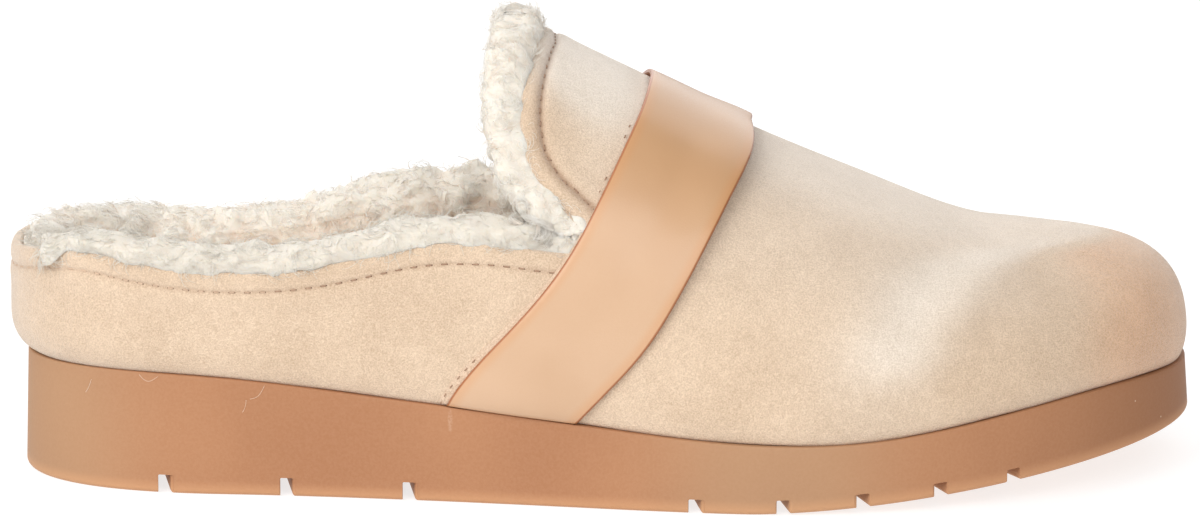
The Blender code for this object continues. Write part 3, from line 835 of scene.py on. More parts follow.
roll_rise = np.pad(roll_rise, both_ends)
roll_depth = np.pad(roll_depth, both_ends, constant_values=((0, 0), (behind, behind + FLEECE_AT_COLLAR)))
knots = roll_rise.shape[1]
steps = np.linspace(0, knots - 1, ROLL_STEPS)
weights = np.stack([spline(range(knots), row, steps) for row in np.eye(knots)])
roll = edge + edge_up * (roll_rise @ weights)[..., None] - edge_normal * (roll_depth @ weights)[..., None]
down = 1 - np.linspace(0, 1, FLEECE_ROWS + 1)[None, 1:] ** 1.1
face, face_normal = wall_faces(foot, flank, start + (1 - start) * down)
pile_depth = FLEECE_DEEP + (FLEECE_AT_COLLAR - FLEECE_DEEP) * down**2
pile_depth = pile_depth + FLEECE_FULLER * inner_share * soft_bump(down - 0.72, 0.25)
face = face - (behind + pile_depth)[..., None] * face_normal
against, against_normal = wall_faces(foot, flank, start + (1 - start) * np.array([BACK_ROWS]))
against = against - behind * against_normal
body = np.concatenate([roll, face, against], axis=1)
body[..., 2] = np.maximum(body[..., 2], floor)
body_rows = body.shape[1]
row_number = np.arange(body_rows)[None, :]

lump_height = puffs(body)
showing = smooth_step(row_number, 1, 9) * (row_number < LINED_ROWS)
corner = soft_bump(foot - 0.52, 0.07)
at_heel = soft_bump(foot, 0.14)
lump_size = (PUFF_HEIGHT + PUFF_INNER * inner_share) * (1 - PUFF_HEEL * at_heel) + PUFF_CORNER * corner
swell = lump_size * (lump_height - PUFF_MIDDLE) * showing
body = body + grid_normals(body, edge_up[:, 0]) * swell[..., None]
out = grid_normals(body, edge_up[:, 0])
deep = [np.zeros(ROLL_STEPS - 4), np.linspace(0, 0.15, 4), np.linspace(0.2, 1, FLEECE_ROWS)]
deep = np.concatenate([*deep, np.ones(len(BACK_ROWS))])
# Painted shade: the fleece is painted darker and warmer deeper inside the shoe and in the creases between
# its puffs.
in_light = 1 - 0.75 * deep[None, :]
painted_lightness = (in_light * (0.76 + 0.42 * lump_height)).clip(0, 1)
# Painted shade: the outer roll, from the heel to the middle, is painted dimmer and greyer where the key
# light falls on it most strongly.
painted_dimness = on_outer * fade_out(foot, 0.46, 0.56) * fade_out(row_number, 14, 22)
# The roll's base tone is painted a little darker on the inner side, as shade.
roll_painted_light = 0.6 - 0.06 * inner_share * fade_out(foot, 0.54, 0.64)
body_marks = {"tip": (roll_painted_light + 0.45 * lump_height) * in_light, "painted_dim": painted_dimness}
fleece = mesh_piece("fleece_body", body, grid_quads(FLEECE_COLUMNS, body_rows), marks=body_marks)

fleece_wool, tree, shader = new_material("curled_fleece")
grain = grain_node(tree, 900.0, 120.0, 1.6)
# Painted shade: low tip values take the warm dark colour of fleece in shade.
tip = add(tree, mark(tree, "tip"), weigh(tree, grain["Grain"], 0.2))
tip = spread(tree, tip, 0.1, 1.0)
colour = blend_colours(tree, tip, (0.78, 0.55, 0.39), (0.77, 0.72, 0.635))
colour = blend_colours(tree, weigh(tree, grain["Patch"], 0.15), colour, (0.74, 0.67, 0.57))
# Painted shade: dimmer and greyer on the outer roll.
colour = blend_colours(tree, weigh(tree, mark(tree, "painted_dim"), 0.6), colour, (0.66, 0.61, 0.53))
fill_inputs(
    tree,
    shader,
    Base_Color=colour,
    Roughness=spread(tree, grain["Grain"], 0.0, 1.0, 1.0, 0.85),
    Normal=bump(tree, grain["Grain"], 0.15, 0.6),
    Specular_IOR_Level=0.15,
    Sheen_Weight=0.25,
    Sheen_Roughness=0.6,
    Subsurface_Weight=0.4,
    Subsurface_Radius=(1.0, 0.8, 0.6),
    Subsurface_Scale=3 * MM,
)
fleece.data.materials.append(fleece_wool)
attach(fleece, "root")
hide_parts("fleece_lining")


# Fleece pile: fine fibres of the lining, rooted all over what shows of its body, in three pieces.
# Each fibre is a thin tube that curls round the middle of its curl and is combed over at the collar.
CURL_SIZE = 6.5
COMB_PULL, SCATTER, ROOT_DEPTH, ARCH = 2.2, 0.5, 0.25, 2.3
PILE_END, THROAT_PILE = 0.56, 0.58
# x and z of a place on the strap's back edge, and how far that edge leans forward in each millimetre up
STRAP_CROSSING, STRAP_LEAN = (121.5, 55.7), 0.57
UNDER_STRAP, UNDER_STRAP_ROWS = 1.0, 14
THIN_ROWS, TOE_ROWS = 6, ROLL_STEPS + 4
# curls: how many, each of so many strands that far apart. length, lift, radius: of a strand.
# rings: along it. bend: least and most turn.
Pile = namedtuple("Pile", "curls strands apart length lift radius rings bend seed")

pile_wool, tree, shader = new_material("fleece_fibres")
grain = grain_node(tree, 700.0, 110.0)
# Painted shade: fibres are warmer and darker towards their roots and deep inside, and dimmer on the outer
# roll.
tip = spread(tree, add(tree, mark(tree, "tip"), weigh(tree, grain["Patch"], 0.2)), 0.2, 1.0)
colour = blend_colours(tree, tip, (0.81, 0.59, 0.42), (0.835, 0.805, 0.745))
colour = blend_colours(tree, weigh(tree, mark(tree, "painted_dim"), 0.75), colour, (0.645, 0.61, 0.54))
fill_inputs(
    tree,
    shader,
    Base_Color=colour,
    Roughness=spread(tree, grain["Grain"], 0.0, 1.0, 0.95, 0.75),
    Specular_IOR_Level=0.2,
    Sheen_Weight=0.4,
    Sheen_Roughness=0.5,
)


def curl_middle(place):
    """Middle of the curl that a place belongs to."""
    _, middles = noise.voronoi(Vector(place) / CURL_SIZE)
    return middles[0] * CURL_SIZE


def curled_fibres(name, points, normals, comb, painted_lightness, painted_dimness, weight, pile):
    """Fine fibres rooted in a grid's quads by weight, in swirls or along `comb` where that is not zero."""
    chance = np.random.default_rng(pile.seed)
    count = pile.curls
    lines, rows = points.shape[:2]
    picked = chance.choice(lines * rows, count, p=weight.ravel() / weight.sum())
    i, j = picked // rows, picked % rows
    u, v = chance.random((count, 1)), chance.random((count, 1))
    across = points[(i + 1) % lines, j] - points[i, j]
    along = points[i, (j + 1) % rows] - points[i, j]
    root = points[i, j] + across * u + along * v
    normal = normals[i, j]
    middle = np.array([curl_middle(place) for place in root])
    sense = np.where(np.sin(middle @ np.array([12.9, 78.2, 37.7])) > 0, 1.0, -1.0)[:, None]
    swirl = unit(np.cross(normal, root - middle)) * sense
    ahead = swirl + COMB_PULL * comb[i, j] + SCATTER * chance.normal(size=(count, 3))
    ahead = unit(ahead - normal * np.sum(ahead * normal, axis=1, keepdims=True))
    aside = np.cross(normal, ahead) * sense
    long = pile.length * chance.uniform(0.6, 1.25, (count, 1, 1))
    straighter = 1 - 0.6 * np.linalg.norm(comb[i, j], axis=1)
    bend = chance.uniform(*pile.bend, (count, 1, 1)) * straighter[:, None, None]
    way = np.linspace(0, 1, pile.rings)[None, :, None]
    turned = bend * way
    circle = ahead[:, None] * np.sin(turned) + aside[:, None] * (1 - np.cos(turned))
    rise = pile.lift * chance.uniform(0.3, 1.5, (count, 1, 1)) ** 1.5
    paths = root[:, None] + circle * long / bend
    paths = paths + normal[:, None] * (rise * np.sin(way * ARCH) - ROOT_DEPTH)
    up = np.broadcast_to(normal[:, None], paths.shape)
    # Painted shade: each fibre is painted darker towards its root, and where the fleece under it is painted
    # darker.
    painted_fibre_light = (0.55 + 0.45 * way) * (0.3 + 0.7 * painted_lightness[i, j])[:, None, None]
    painted_dim = painted_dimness[i, j][:, None, None]
    paths, up, painted_fibre_light, painted_dim = (np.repeat(values, pile.strands, axis=0) for values in (paths, up, painted_fibre_light, painted_dim))
    count = len(paths)
    paths = paths + pile.apart * chance.normal(size=(count, 1, 3)) * (0.5 + 0.5 * way)
    thick = pile.radius * chance.uniform(0.7, 1.2, (count, 1)) * (1 - 0.65 * way[..., 0])
    made = mesh_piece(name, *tubes(paths, thick, 3, up), marks={"tip": painted_fibre_light, "painted_dim": painted_dim})
    made.data.materials.append(pile_wool)
    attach(made, "root")
    return made


quad_area = np.linalg.norm(np.cross(np.roll(body, -1, 0) - body, np.roll(body, -1, 1) - body), axis=-1)
row_weight = [np.full(ROLL_STEPS, 2.0), np.linspace(3.2, 0.5, FLEECE_ROWS), np.zeros(len(BACK_ROWS))]
row_weight = np.concatenate(row_weight)
row_weight[:THIN_ROWS] = np.linspace(0.8, 2.0, THIN_ROWS)
row_weight[LINED_ROWS - 1] = 0
inside_toe = row_number < TOE_ROWS
pile_weight = quad_area * row_weight[None, :] * np.where(foot < PILE_END, 1.0 + at_heel, inside_toe)
strap_x = STRAP_CROSSING[0] + STRAP_LEAN * (body[..., 2] - STRAP_CROSSING[1])
under_strap = (body[..., 0] > strap_x - UNDER_STRAP) & (row_number < UNDER_STRAP_ROWS)
pile_weight = np.where(under_strap, 0.0, pile_weight)
combed = 0.55 * fade_out(row_number, 9, 16) * fade_out(foot, 0.42, 0.48)
comb = unit(body - np.roll(body, -1, 1) + 0.6 * (body - np.roll(body, -1, 0))) * combed[..., None]
for pile_name, region, lift, seed in (
    ("fleece_pile_outer", (foot < THROAT_PILE) & on_outer, 0.75, 11),
    ("fleece_pile_inner", (foot < THROAT_PILE) & ~on_outer, 0.75, 12),
    ("fleece_pile_throat", foot >= THROAT_PILE, 0.6, 13),
):
    long_pile = Pile(4900, 1, 0.0, 4.4, lift, 0.08, 7, (1.2, 3.6), seed)
    pile = curled_fibres(pile_name, body, out, comb, painted_lightness, painted_dimness, pile_weight * region, long_pile)


# Fleece locks: thicker curls of the same pile in the corners beside the strap on the outer side.
# Each lock is a bundle of strands in the pile's material that curl together.
LOCK_WIDTHS = (0.022, 0.025)
LOCK_FIRST_ROW, LOCK_LAST_ROW, LOCK_CLEAR = 10, 22, 4.0
LOCKS = Pile(60, 18, 0.4, 7.0, 0.9, 0.1, 11, (2.6, 4.6), 17)
lock_zone = sum(soft_bump(foot - place, width) for place, width in zip(STRAP_FEET, LOCK_WIDTHS)) * on_outer
lock_rows = (row_number > LOCK_FIRST_ROW) & (row_number < LOCK_LAST_ROW)
lock_weight = quad_area * lock_zone * (lock_rows & (body[..., 0] < strap_x - LOCK_CLEAR))
locks = curled_fibres("fleece_locks", body, out, comb * 0, painted_lightness, painted_dimness * 0, lock_weight, LOCKS)


# Insole: foam footbed under the foot, covered in the same fleece with a shorter pile.
# It lies loose on the sole inside the upper and is mostly hidden.
INSOLE_INSET, INSOLE_DIP, INSOLE_ROUND, INSOLE_PUFF = 3.0, 2.6, 1.6, 0.9
INSOLE_LINES, INSOLE_ACROSS, INSOLE_ENDS = 150, 44, (0.02, 0.98)


def bar_quads(lines, points):
    """Quads round a bar of lines of points, and strips of quads that close both its ends."""
    first_end = np.array([(k, k + 1, points - 2 - k, points - 1 - k) for k in range(points // 2 - 1)])
    last_end = first_end[:, ::-1] + (lines - 1) * points
    return np.concatenate([grid_quads(lines, points, closed_round=False), first_end, last_end])


insole_share = (1 - np.cos(np.linspace(*INSOLE_ENDS, INSOLE_LINES) * math.pi)) / 2
insole_edges = [outline(insole_share, side, FEATHER_INSET + INSOLE_INSET) for side in (OUTER, INNER)]
outer_edge, inner_edge = (np.stack(edge_line, axis=-1)[:, None] for edge_line in insole_edges)
ways = np.linspace(0, 1, INSOLE_ACROSS)[None, :, None]
plan = outer_edge + (inner_edge - outer_edge) * ways
round_edge = (1 - np.abs(2 * ways - 1) ** 10) ** 0.5
insole_floor = read(SECTIONS, "top", insole_share)[:, None, None]
top_z = insole_floor + INSOLE_THICKNESS - INSOLE_DIP + INSOLE_ROUND * round_edge
top_face = np.concatenate([plan, top_z], axis=-1)
low_face = np.concatenate([plan, np.broadcast_to(insole_floor + GAP, top_z.shape)], axis=-1)
insole_lump = puffs(top_face)
top_face[..., 2] += INSOLE_PUFF * insole_lump
insole_points = np.concatenate([top_face, low_face[:, ::-1]], axis=1)
insole_grid = insole_points.shape[:2]
# Painted shade: the cover is painted darker in the creases between its puffs.
insole_painted_light = np.concatenate([0.55 + 0.3 * insole_lump, np.zeros_like(insole_lump)], axis=1)
insole = mesh_piece("fleece_insole", insole_points, bar_quads(*insole_grid), marks={"tip": insole_painted_light})
insole.data.materials.append(fleece_wool)
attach(insole, "root")
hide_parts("insole")


# Insole pile: short fibres on the footbed's cover where it can be seen.
# They are thin tubes like the lining's, in swirls, rooted on the top face.
INSOLE_PILE = Pile(1800, 1, 0.0, 3.6, 0.6, 0.09, 5, (1.2, 3.6), 21)
# The insole's fibres are painted a little darker, as shade inside the shoe.
INSOLE_PILE_END, INSOLE_PAINTED_LIGHTNESS = 0.62, 0.7
insole_weight = np.zeros(insole_grid)
insole_weight[:-1, 3 : INSOLE_ACROSS - 4] = 1.0
insole_weight *= (insole_share < INSOLE_PILE_END)[:, None]
insole_up = np.broadcast_to(np.array([0.0, 0.0, 1.0]), insole_points.shape)
insole_pile = curled_fibres(
    "insole_pile",
    insole_points,
    insole_up,
    insole_up * 0,
    np.full(insole_grid, INSOLE_PAINTED_LIGHTNESS),
    np.zeros(insole_grid),
    insole_weight,
    INSOLE_PILE,
)


# Outsole: platform unit moulded in satin gum rubber, with a raised heel and a sprung toe.
# Flex grooves are moulded across the tread, and every lower edge is a little round.
TOE_SPRING, SPRING_START, SPRING_POWER = 10.2, 0.62, 1.35
LOWER_ROUND, UPPER_ROUND, LOWER_FLARE = 1.2, 0.3, 0.8
SOLE_COLUMNS, SHARP_ANGLE = 420, 35
GROOVE_WIDTH, GROOVE_FILLET, CUT_MARGIN, CUT_OVERLAP = 2.6, 0.4, 6.0, 0.02
BACK_MOUTH, FRONT_MOUTH, END_ROUND = 0.35, 0.9, 0.7
SCUFF_SHARE, SCUFF_HEIGHT, SCUFF_REACH = 0.3665, 18.4, (0.7, 4.0, 3.6)
Groove = namedtuple("Groove", "share slant depth")
GROOVES = (
    Groove(0.123, 9, 4.2),
    Groove(0.227, 8, 4.2),
    Groove(0.331, 7, 4.2),
    Groove(0.572, 8, 3.2),
    Groove(0.646, 10, 3.2),
    Groove(0.714, 16, 3.2),
    Groove(0.781, 18, 3.2),
    Groove(0.846, 23, 3.0),
)


def tread(share):
    """Height of the tread: flat from the heel to the ball, then sprung up to the toe."""
    return TOE_SPRING * (np.clip(share - SPRING_START, 0, 1) / (1 - SPRING_START)) ** SPRING_POWER


def groove_cutter(number, groove):
    """A chevron bar that points back in the middle of the sole, flared at its mouth and at both ends."""
    back = math.tan(math.radians(groove.slant))
    stretch = 1 / math.cos(math.radians(groove.slant))
    middle = groove.share * SOLE_LENGTH - back * half_width(groove.share, OUTER)
    end_turn = np.linspace(0.3, math.pi / 2, 6)
    inwards = np.concatenate([[-CUT_MARGIN, 0.0], END_ROUND * (1 - np.cos(end_turn))])
    run = np.linspace(1, 0, 9)[1:]
    halves = []
    for side in (OUTER, INNER):
        edge_x, edge_y = outline(np.linspace(0.03, 0.97, 600), side, -LOWER_FLARE)
        end = np.abs(edge_y[np.argmin(np.abs(edge_x - middle - back * np.abs(edge_y)))])
        halves.append(np.concatenate([end - inwards, (end - END_ROUND) * run]))
    y = np.concatenate([-halves[0], halves[1][-2::-1]])
    flare = END_ROUND - np.sqrt(END_ROUND**2 - (END_ROUND - inwards).clip(0, END_ROUND) ** 2)
    flare = np.concatenate([flare, np.zeros(len(run))])
    flare = np.concatenate([flare, flare[-2::-1]])
    turn = np.linspace(0, math.pi / 2, 6)
    half = GROOVE_WIDTH / 2
    sides = []
    for mouth in (BACK_MOUTH, FRONT_MOUTH):
        mouth_u = half + mouth * (1 - np.sin(turn))
        roof_u = half - GROOVE_FILLET * (1 - np.cos(turn))
        mouth_z = mouth * (1 - np.cos(turn)) - CUT_OVERLAP
        roof_z = groove.depth - GROOVE_FILLET * (1 - np.sin(turn))
        side_u = np.concatenate([[half + mouth], mouth_u, roof_u])
        sides.append((side_u, np.concatenate([[-CUT_MARGIN], mouth_z, roof_z])))
    profile_u = np.concatenate([-sides[0][0], sides[1][0][::-1]])
    profile_z = np.concatenate([sides[0][1], sides[1][1][::-1]])
    outwards = np.sign(profile_u)[None, :] * flare[:, None]
    place_x = (middle + back * np.abs(y))[:, None] + (profile_u[None, :] + outwards) * stretch
    place_z = tread(place_x / SOLE_LENGTH) + profile_z[None, :]
    points = np.stack([place_x, np.broadcast_to(y[:, None], place_x.shape), place_z], axis=-1)
    return mesh_piece(f"groove_cutter_{number}", points, bar_quads(len(y), len(profile_u)))


sole_share, sole_flank = ring(SOLE_COLUMNS)
sole_low_z, sole_high_z = tread(sole_share), read(SECTIONS, "top", sole_share)
wall_low, wall_high = sole_low_z + LOWER_ROUND, sole_high_z - UPPER_ROUND
# Inset and height of every ring of points: the round lower edge, the flared side and the round upper edge
sole_levels = []
for turn in np.linspace(0, math.pi / 2, 7):
    inset = LOWER_ROUND * (1 - math.sin(turn)) - LOWER_FLARE
    sole_levels.append((inset, sole_low_z + LOWER_ROUND * (1 - math.cos(turn))))
for way in np.linspace(0, 1, 9)[1:]:
    sole_levels.append((-LOWER_FLARE * (1 - way), wall_low + (wall_high - wall_low) * way))
for turn in np.linspace(0, math.pi / 2, 4)[1:]:
    inset = UPPER_ROUND * (1 - math.cos(turn))
    sole_levels.append((inset, sole_high_z - UPPER_ROUND * (1 - math.sin(turn))))
sole_rings = [np.stack([*outline(sole_share, sole_flank, inset), z], axis=-1) for inset, z in sole_levels]
sole_rings = np.stack(sole_rings)
quads, triangles = [grid_quads(len(sole_rings), SOLE_COLUMNS, closed_round=False)], []
for base, order in ((0, 1), ((len(sole_rings) - 1) * SOLE_COLUMNS, -1)):
    for i in range(1, SOLE_COLUMNS // 2 - 1):
        strip = (i, i + 1, SOLE_COLUMNS - i - 1, SOLE_COLUMNS - i)
        quads.append([[base + k for k in strip[::order]]])
    for tip in ((SOLE_COLUMNS - 1, 0, 1), (SOLE_COLUMNS // 2 - 1, SOLE_COLUMNS // 2, SOLE_COLUMNS // 2 + 1)):
        triangles.append([base + k for k in tip[::order]])
sole = mesh_piece("gum_outsole", sole_rings, np.concatenate(quads), triangles)
cutters = [groove_cutter(number, groove) for number, groove in enumerate(GROOVES, 1)]
for cutter in cutters:
    cut = sole.modifiers.new(cutter.name, "BOOLEAN")
    cut.operation = "DIFFERENCE"
    cut.object = cutter
grooved = bpy.data.meshes.new_from_object(sole.evaluated_get(bpy.context.evaluated_depsgraph_get()))
sole.modifiers.clear()
sole.data = grooved
for cutter in cutters:
    bpy.data.objects.remove(cutter)
grooved.shade_smooth()
grooved.set_sharp_from_angle(angle=math.radians(SHARP_ANGLE))
corners = np.zeros(len(grooved.vertices) * 3, np.float32)
grooved.vertices.foreach_get("co", corners)
corners = (corners.reshape(-1, 3) - SHIFT) / MM
corner_share = corners[:, 0] / SOLE_LENGTH
# Painted light along the sole: lighter at the heel and the ball, and darker towards the toe, which faces
# away from the light.
painted_sole_light = soft_bump(corner_share, 0.10) + soft_bump(corner_share - 0.64, 0.10)
add_mark(grooved, "above_tread", corners[:, 2] - tread(corner_share))
add_mark(grooved, "painted_sole_light", painted_sole_light - smooth_step(corner_share, 0.80, 1.0))

gum_rubber, tree, shader = new_material("gum_rubber")
grain = grain_node(tree, 1500.0, 22.0)
colour = blend_colours(tree, grain["Patch"], (0.365, 0.163, 0.077), (0.412, 0.193, 0.094))
colour = blend_colours(tree, weigh(tree, grain["Grain"], 0.12), colour, (0.60, 0.36, 0.22))
# Painted highlight at the heel and the ball, and painted shade at the toe.
painted_sole_highlight = spread(tree, mark(tree, "painted_sole_light"), 0.0, 1.0, 0.0, 0.35)
colour = blend_colours(tree, painted_sole_highlight, colour, (0.42, 0.30, 0.18))
painted_toe_shade = spread(tree, mark(tree, "painted_sole_light"), -1.0, 0.0, 0.35, 0.0)
colour = blend_colours(tree, painted_toe_shade, colour, (0.20, 0.08, 0.035))
# Painted light: the lower edge is painted lighter and warmer, as light from the floor shining through the
# rubber.
painted_floor_light = spread(tree, mark(tree, "above_tread"), 0.5, 3.6, 0.55, 0.0)
colour = blend_colours(tree, painted_floor_light, colour, (0.62, 0.33, 0.17))
dust = node(tree, "TexVoronoi", Vector=place_on(tree), Scale=170.0).outputs["Distance"]
colour = blend_colours(tree, spread(tree, dust, 0.02, 0.042, 0.65, 0.0), colour, (0.80, 0.66, 0.50))
scuff_middle = np.array([*outline(SCUFF_SHARE, OUTER, 0.0), SCUFF_HEIGHT]) * MM + SHIFT
scuff_scale = 1 / (np.array(SCUFF_REACH) * MM)
near_scuff = node(
    tree, "Mapping", Vector=place_on(tree), Location=-scuff_middle * scuff_scale, Scale=scuff_scale
)
scuff = node(tree, "TexGradient", {"gradient_type": "SPHERICAL"}, Vector=near_scuff.outputs[0])
scuff = weigh(tree, spread(tree, scuff.outputs["Fac"], 0.0, 0.8, 0.0, 0.25), grain["Grain"])
colour = blend_colours(tree, scuff, colour, (0.80, 0.62, 0.48))
fill_inputs(
    tree,
    shader,
    Base_Color=colour,
    Roughness=spread(tree, grain["Patch"], 0.0, 1.0, 0.50, 0.62),
    Normal=bump(tree, grain["Grain"], 0.012),
    Specular_IOR_Level=0.25,
)
sole.data.materials.clear()
sole.data.materials.append(gum_rubber)
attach(sole, "root")
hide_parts("outsole")


# Loose fibres: four bits of fleece that cling to the sole's outer side, thin tubes in the pile's material.
# Each row has the shares and heights of the places that one of them runs through.
LOOSE_FIBRES = (
    ((0.0565, 21.3), (0.0590, 22.5), (0.0615, 24.4)),
    ((0.1030, 26.5), (0.1105, 25.1), (0.1190, 26.3)),
    ((0.2095, 24.9), (0.2045, 22.6), (0.1973, 21.8)),
    ((0.1942, 21.6), (0.1933, 20.0), (0.1911, 18.8)),
)
FIBRE_RADIUS, FIBRE_SIDES, FIBRE_RINGS, FIBRE_OFF = 0.038, 5, 12, 0.05
FIBRE_TIP = 0.4
fibre_paths = []
for route in LOOSE_FIBRES:
    fibre_share, fibre_z = hand_curve(route, np.linspace(0, 1, FIBRE_RINGS))
    below_top = 1 - fibre_z / read(SECTIONS, "top", fibre_share)
    fibre_x, fibre_y = outline(fibre_share, OUTER, -FIBRE_OFF - LOWER_FLARE * below_top)
    fibre_paths.append(np.stack([fibre_x, fibre_y, fibre_z], axis=-1))
fibre_paths = np.array(fibre_paths)
fibre_up = np.broadcast_to(np.array([0.0, -1.0, 0.0]), fibre_paths.shape)
fibre_tubes = tubes(fibre_paths, FIBRE_RADIUS, FIBRE_SIDES, fibre_up)
loose_fibres = mesh_piece("loose_fibres", *fibre_tubes, marks={"tip": FIBRE_TIP})
loose_fibres.data.materials.append(pile_wool)
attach(loose_fibres, "root")


# Instep strap: one band of smooth leather with cut, dyed and burnished edges, laid over the instep.
# Both ends are tucked between upper and sole; the front edge stands a little off the vamp.
STRAP_THICKNESS, STRAP_GAP, STRAP_WIDTH, STRAP_EDGE = 1.0, 0.4, 25.0, 0.4
STRAP_LINES, STRAP_COLUMNS = 280, 25
STRAP_SQUARENESS = 2.3
FRONT_LIFT, BACK_LIFT, CROWN = 1.5, 0.3, 0.6
Strap = namedtuple("Strap", "way back front")
STRAP = (
    Strap(0.00, 0.364, 0.474),
    Strap(0.10, 0.413, 0.515),
    Strap(0.25, 0.461, 0.554),
    Strap(0.40, 0.488, 0.581),
    Strap(0.60, 0.514, 0.613),
    Strap(0.80, 0.535, 0.644),
    Strap(1.00, 0.549, 0.666),
)


def strap_climb(turn):
    """Climb on the last, and way up the strap. turn: -1 outer sole, 0 ridge, 1 inner sole."""
    climb = (1 - np.abs(turn)) ** 2
    out, up = section_curve(climb, STRAP_SQUARENESS)
    return climb, (up + 1 - out) / 2


def strap_ground(turn, across):
    """Points and directions on the last under the strap, and the way up the strap."""
    side = np.where(turn <= 0, OUTER, INNER)
    climb, way = strap_climb(turn)
    back, front = read(STRAP, "back", way), read(STRAP, "front", way)
    under = last_point(back + (front - back) * across, side, climb)
    normal = np.cross(np.gradient(under, axis=1), np.gradient(under, axis=0))
    normal[..., 2] = normal[..., 2].clip(0)
    return under, unit(normal), way


quarter = np.linspace(0, math.pi, 7)
edge_in = STRAP_EDGE * (1 - np.sin(quarter)) / STRAP_WIDTH
edge_high = STRAP_THICKNESS / 2 * (1 + np.cos(quarter))
top_across = np.linspace(STRAP_EDGE / STRAP_WIDTH, 1 - STRAP_EDGE / STRAP_WIDTH, STRAP_COLUMNS)[1:-1]
under_across = top_across[::-5]
strap_across = np.concatenate([top_across, 1 - edge_in, under_across, edge_in[::-1]])[None, :]
strap_high = np.concatenate(
    [np.full(len(top_across), STRAP_THICKNESS), edge_high, np.zeros(len(under_across)), edge_high[::-1]]
)[None, :]
sorted_across = np.unique(np.round(strap_across[0], 6))
strap_turn = np.linspace(-1, 1, STRAP_LINES + 1)[:, None]
ground, ground_normal, strap_way = strap_ground(strap_turn, sorted_across[None, :])
column = np.searchsorted(sorted_across, np.round(strap_across[0], 6))
ground, ground_normal = ground[:, column], ground_normal[:, column]
crown = CROWN * (1 - (2 * strap_across - 1) ** 2) * (strap_high > STRAP_THICKNESS * 0.9)
near_top = smooth_step(strap_way, 0.75, 1.0)
lifted = smooth_step(strap_way, 0.08, 0.5) * (1 - 0.5 * near_top)
stand_off = FRONT_LIFT * lifted * smooth_step(strap_across, 0.45, 1.0)
stand_off = stand_off + BACK_LIFT * near_top * fade_out(strap_across, 0.0, 0.4)
strap_points = ground + ground_normal * (STRAP_GAP + stand_off + strap_high + crown)[..., None]
strap_grid = strap_points.shape[:2]
edge_near = np.minimum(strap_across, 1 - strap_across) * STRAP_WIDTH
edge_near = np.where(strap_high > STRAP_THICKNESS * 0.97, edge_near, 0.0)
strap = mesh_piece(
    "leather_strap",
    strap_points,
    grid_quads(*strap_grid, closed_round=False),
    end_fans(*strap_grid),
    marks={"from_cut": edge_near, "up_strap": strap_way},
)

strap_leather, tree, shader = new_material("smooth_tan_leather")
grain = grain_node(tree, 3200.0, 38.0)
# Lit and shaded copies of the leather: painted lighter low on the strap and darker near its top, as light
# and shade.
painted_lit_leather = blend_colours(tree, grain["Patch"], (0.548, 0.349, 0.214), (0.598, 0.394, 0.252))
painted_shaded_leather = blend_colours(tree, grain["Patch"], (0.505, 0.284, 0.140), (0.545, 0.316, 0.163))
colour = blend_colours(tree, spread(tree, mark(tree, "up_strap"), 0.1, 0.75), painted_lit_leather, painted_shaded_leather)
colour = blend_colours(tree, weigh(tree, grain["Grain"], 0.10), colour, (0.52, 0.28, 0.14))
warm_edge = spread(tree, mark(tree, "from_cut"), 0.6, 3.2, 0.35, 0.0)
colour = blend_colours(tree, warm_edge, colour, (0.60, 0.27, 0.10))
burnish = spread(tree, mark(tree, "from_cut"), 0.25, 0.6, 0.9, 0.0)
colour = blend_colours(tree, burnish, colour, (0.34, 0.11, 0.036))
pores = node(tree, "TexVoronoi", {"feature": "SMOOTH_F1"}, Vector=place_on(tree), Scale=2600.0)
leather_height = add(tree, pores.outputs["Distance"], weigh(tree, grain["Grain"], 0.5))
fill_inputs(
    tree,
    shader,
    Base_Color=colour,
    Roughness=spread(tree, grain["Grain"], 0.0, 1.0, 0.36, 0.46),
    Normal=bump(tree, leather_height, 0.02, 0.6),
    Specular_IOR_Level=0.3,
    Coat_Weight=0.5,
    Coat_Roughness=0.25,
)
strap.data.materials.append(strap_leather)
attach(strap, "root")
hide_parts("instep_strap")


# Vamp seam: the cut edge of the vamp's suede, lapped over the quarters and stitched along the strap.
# It shows as a narrow lip beside the strap's back edge and runs under the strap higher up.
LIP_THICKNESS, LIP_ROOT, LIP_LINES = 0.8, 0.5, 241
# show: how far the lip stands out past the strap, along its way up
Lip = namedtuple("Lip", "way show")
LIP = (
    Lip(0.0, 1.9),
    Lip(0.08, 1.4),
    Lip(0.2, 0.8),
    Lip(0.4, 0.1),
    Lip(0.6, -0.5),
    Lip(0.8, -1.0),
    Lip(1.0, -2.0),
)
# The lip's upper face, from its cut edge to under the strap: shares of the strap's width, and of the lip
LIP_ACROSS, LIP_HIGH = (0.0, 0.02, 0.06, 0.12, 0.2), (0.25, 0.62, 0.8, 0.8, 0.3)
lip_turn = np.linspace(-1, 1, LIP_LINES)[:, None]
lip_show = read(LIP, "show", strap_climb(lip_turn)[1]) / STRAP_WIDTH
lip_ground, lip_normal, _ = strap_ground(lip_turn, -lip_show + np.array([LIP_ACROSS]))
lip_top = lip_ground + lip_normal * np.array(LIP_HIGH)[None, :, None] * LIP_THICKNESS
lip_low = lip_ground - lip_normal * LIP_ROOT
lip_points = np.concatenate([lip_top, lip_low[:, ::-1]], axis=1)
lip_grid = lip_points.shape[:2]
lip = mesh_piece("vamp_seam_lip", lip_points, grid_quads(*lip_grid, closed_round=False), end_fans(*lip_grid))
cut_suede, tree, shader = new_material("cut_suede_edge")
grain = grain_node(tree, 2600.0, 200.0)
colour = blend_colours(tree, grain["Grain"], (0.58, 0.40, 0.27), (0.80, 0.61, 0.45))
edge_bump = bump(tree, grain["Grain"], 0.12)
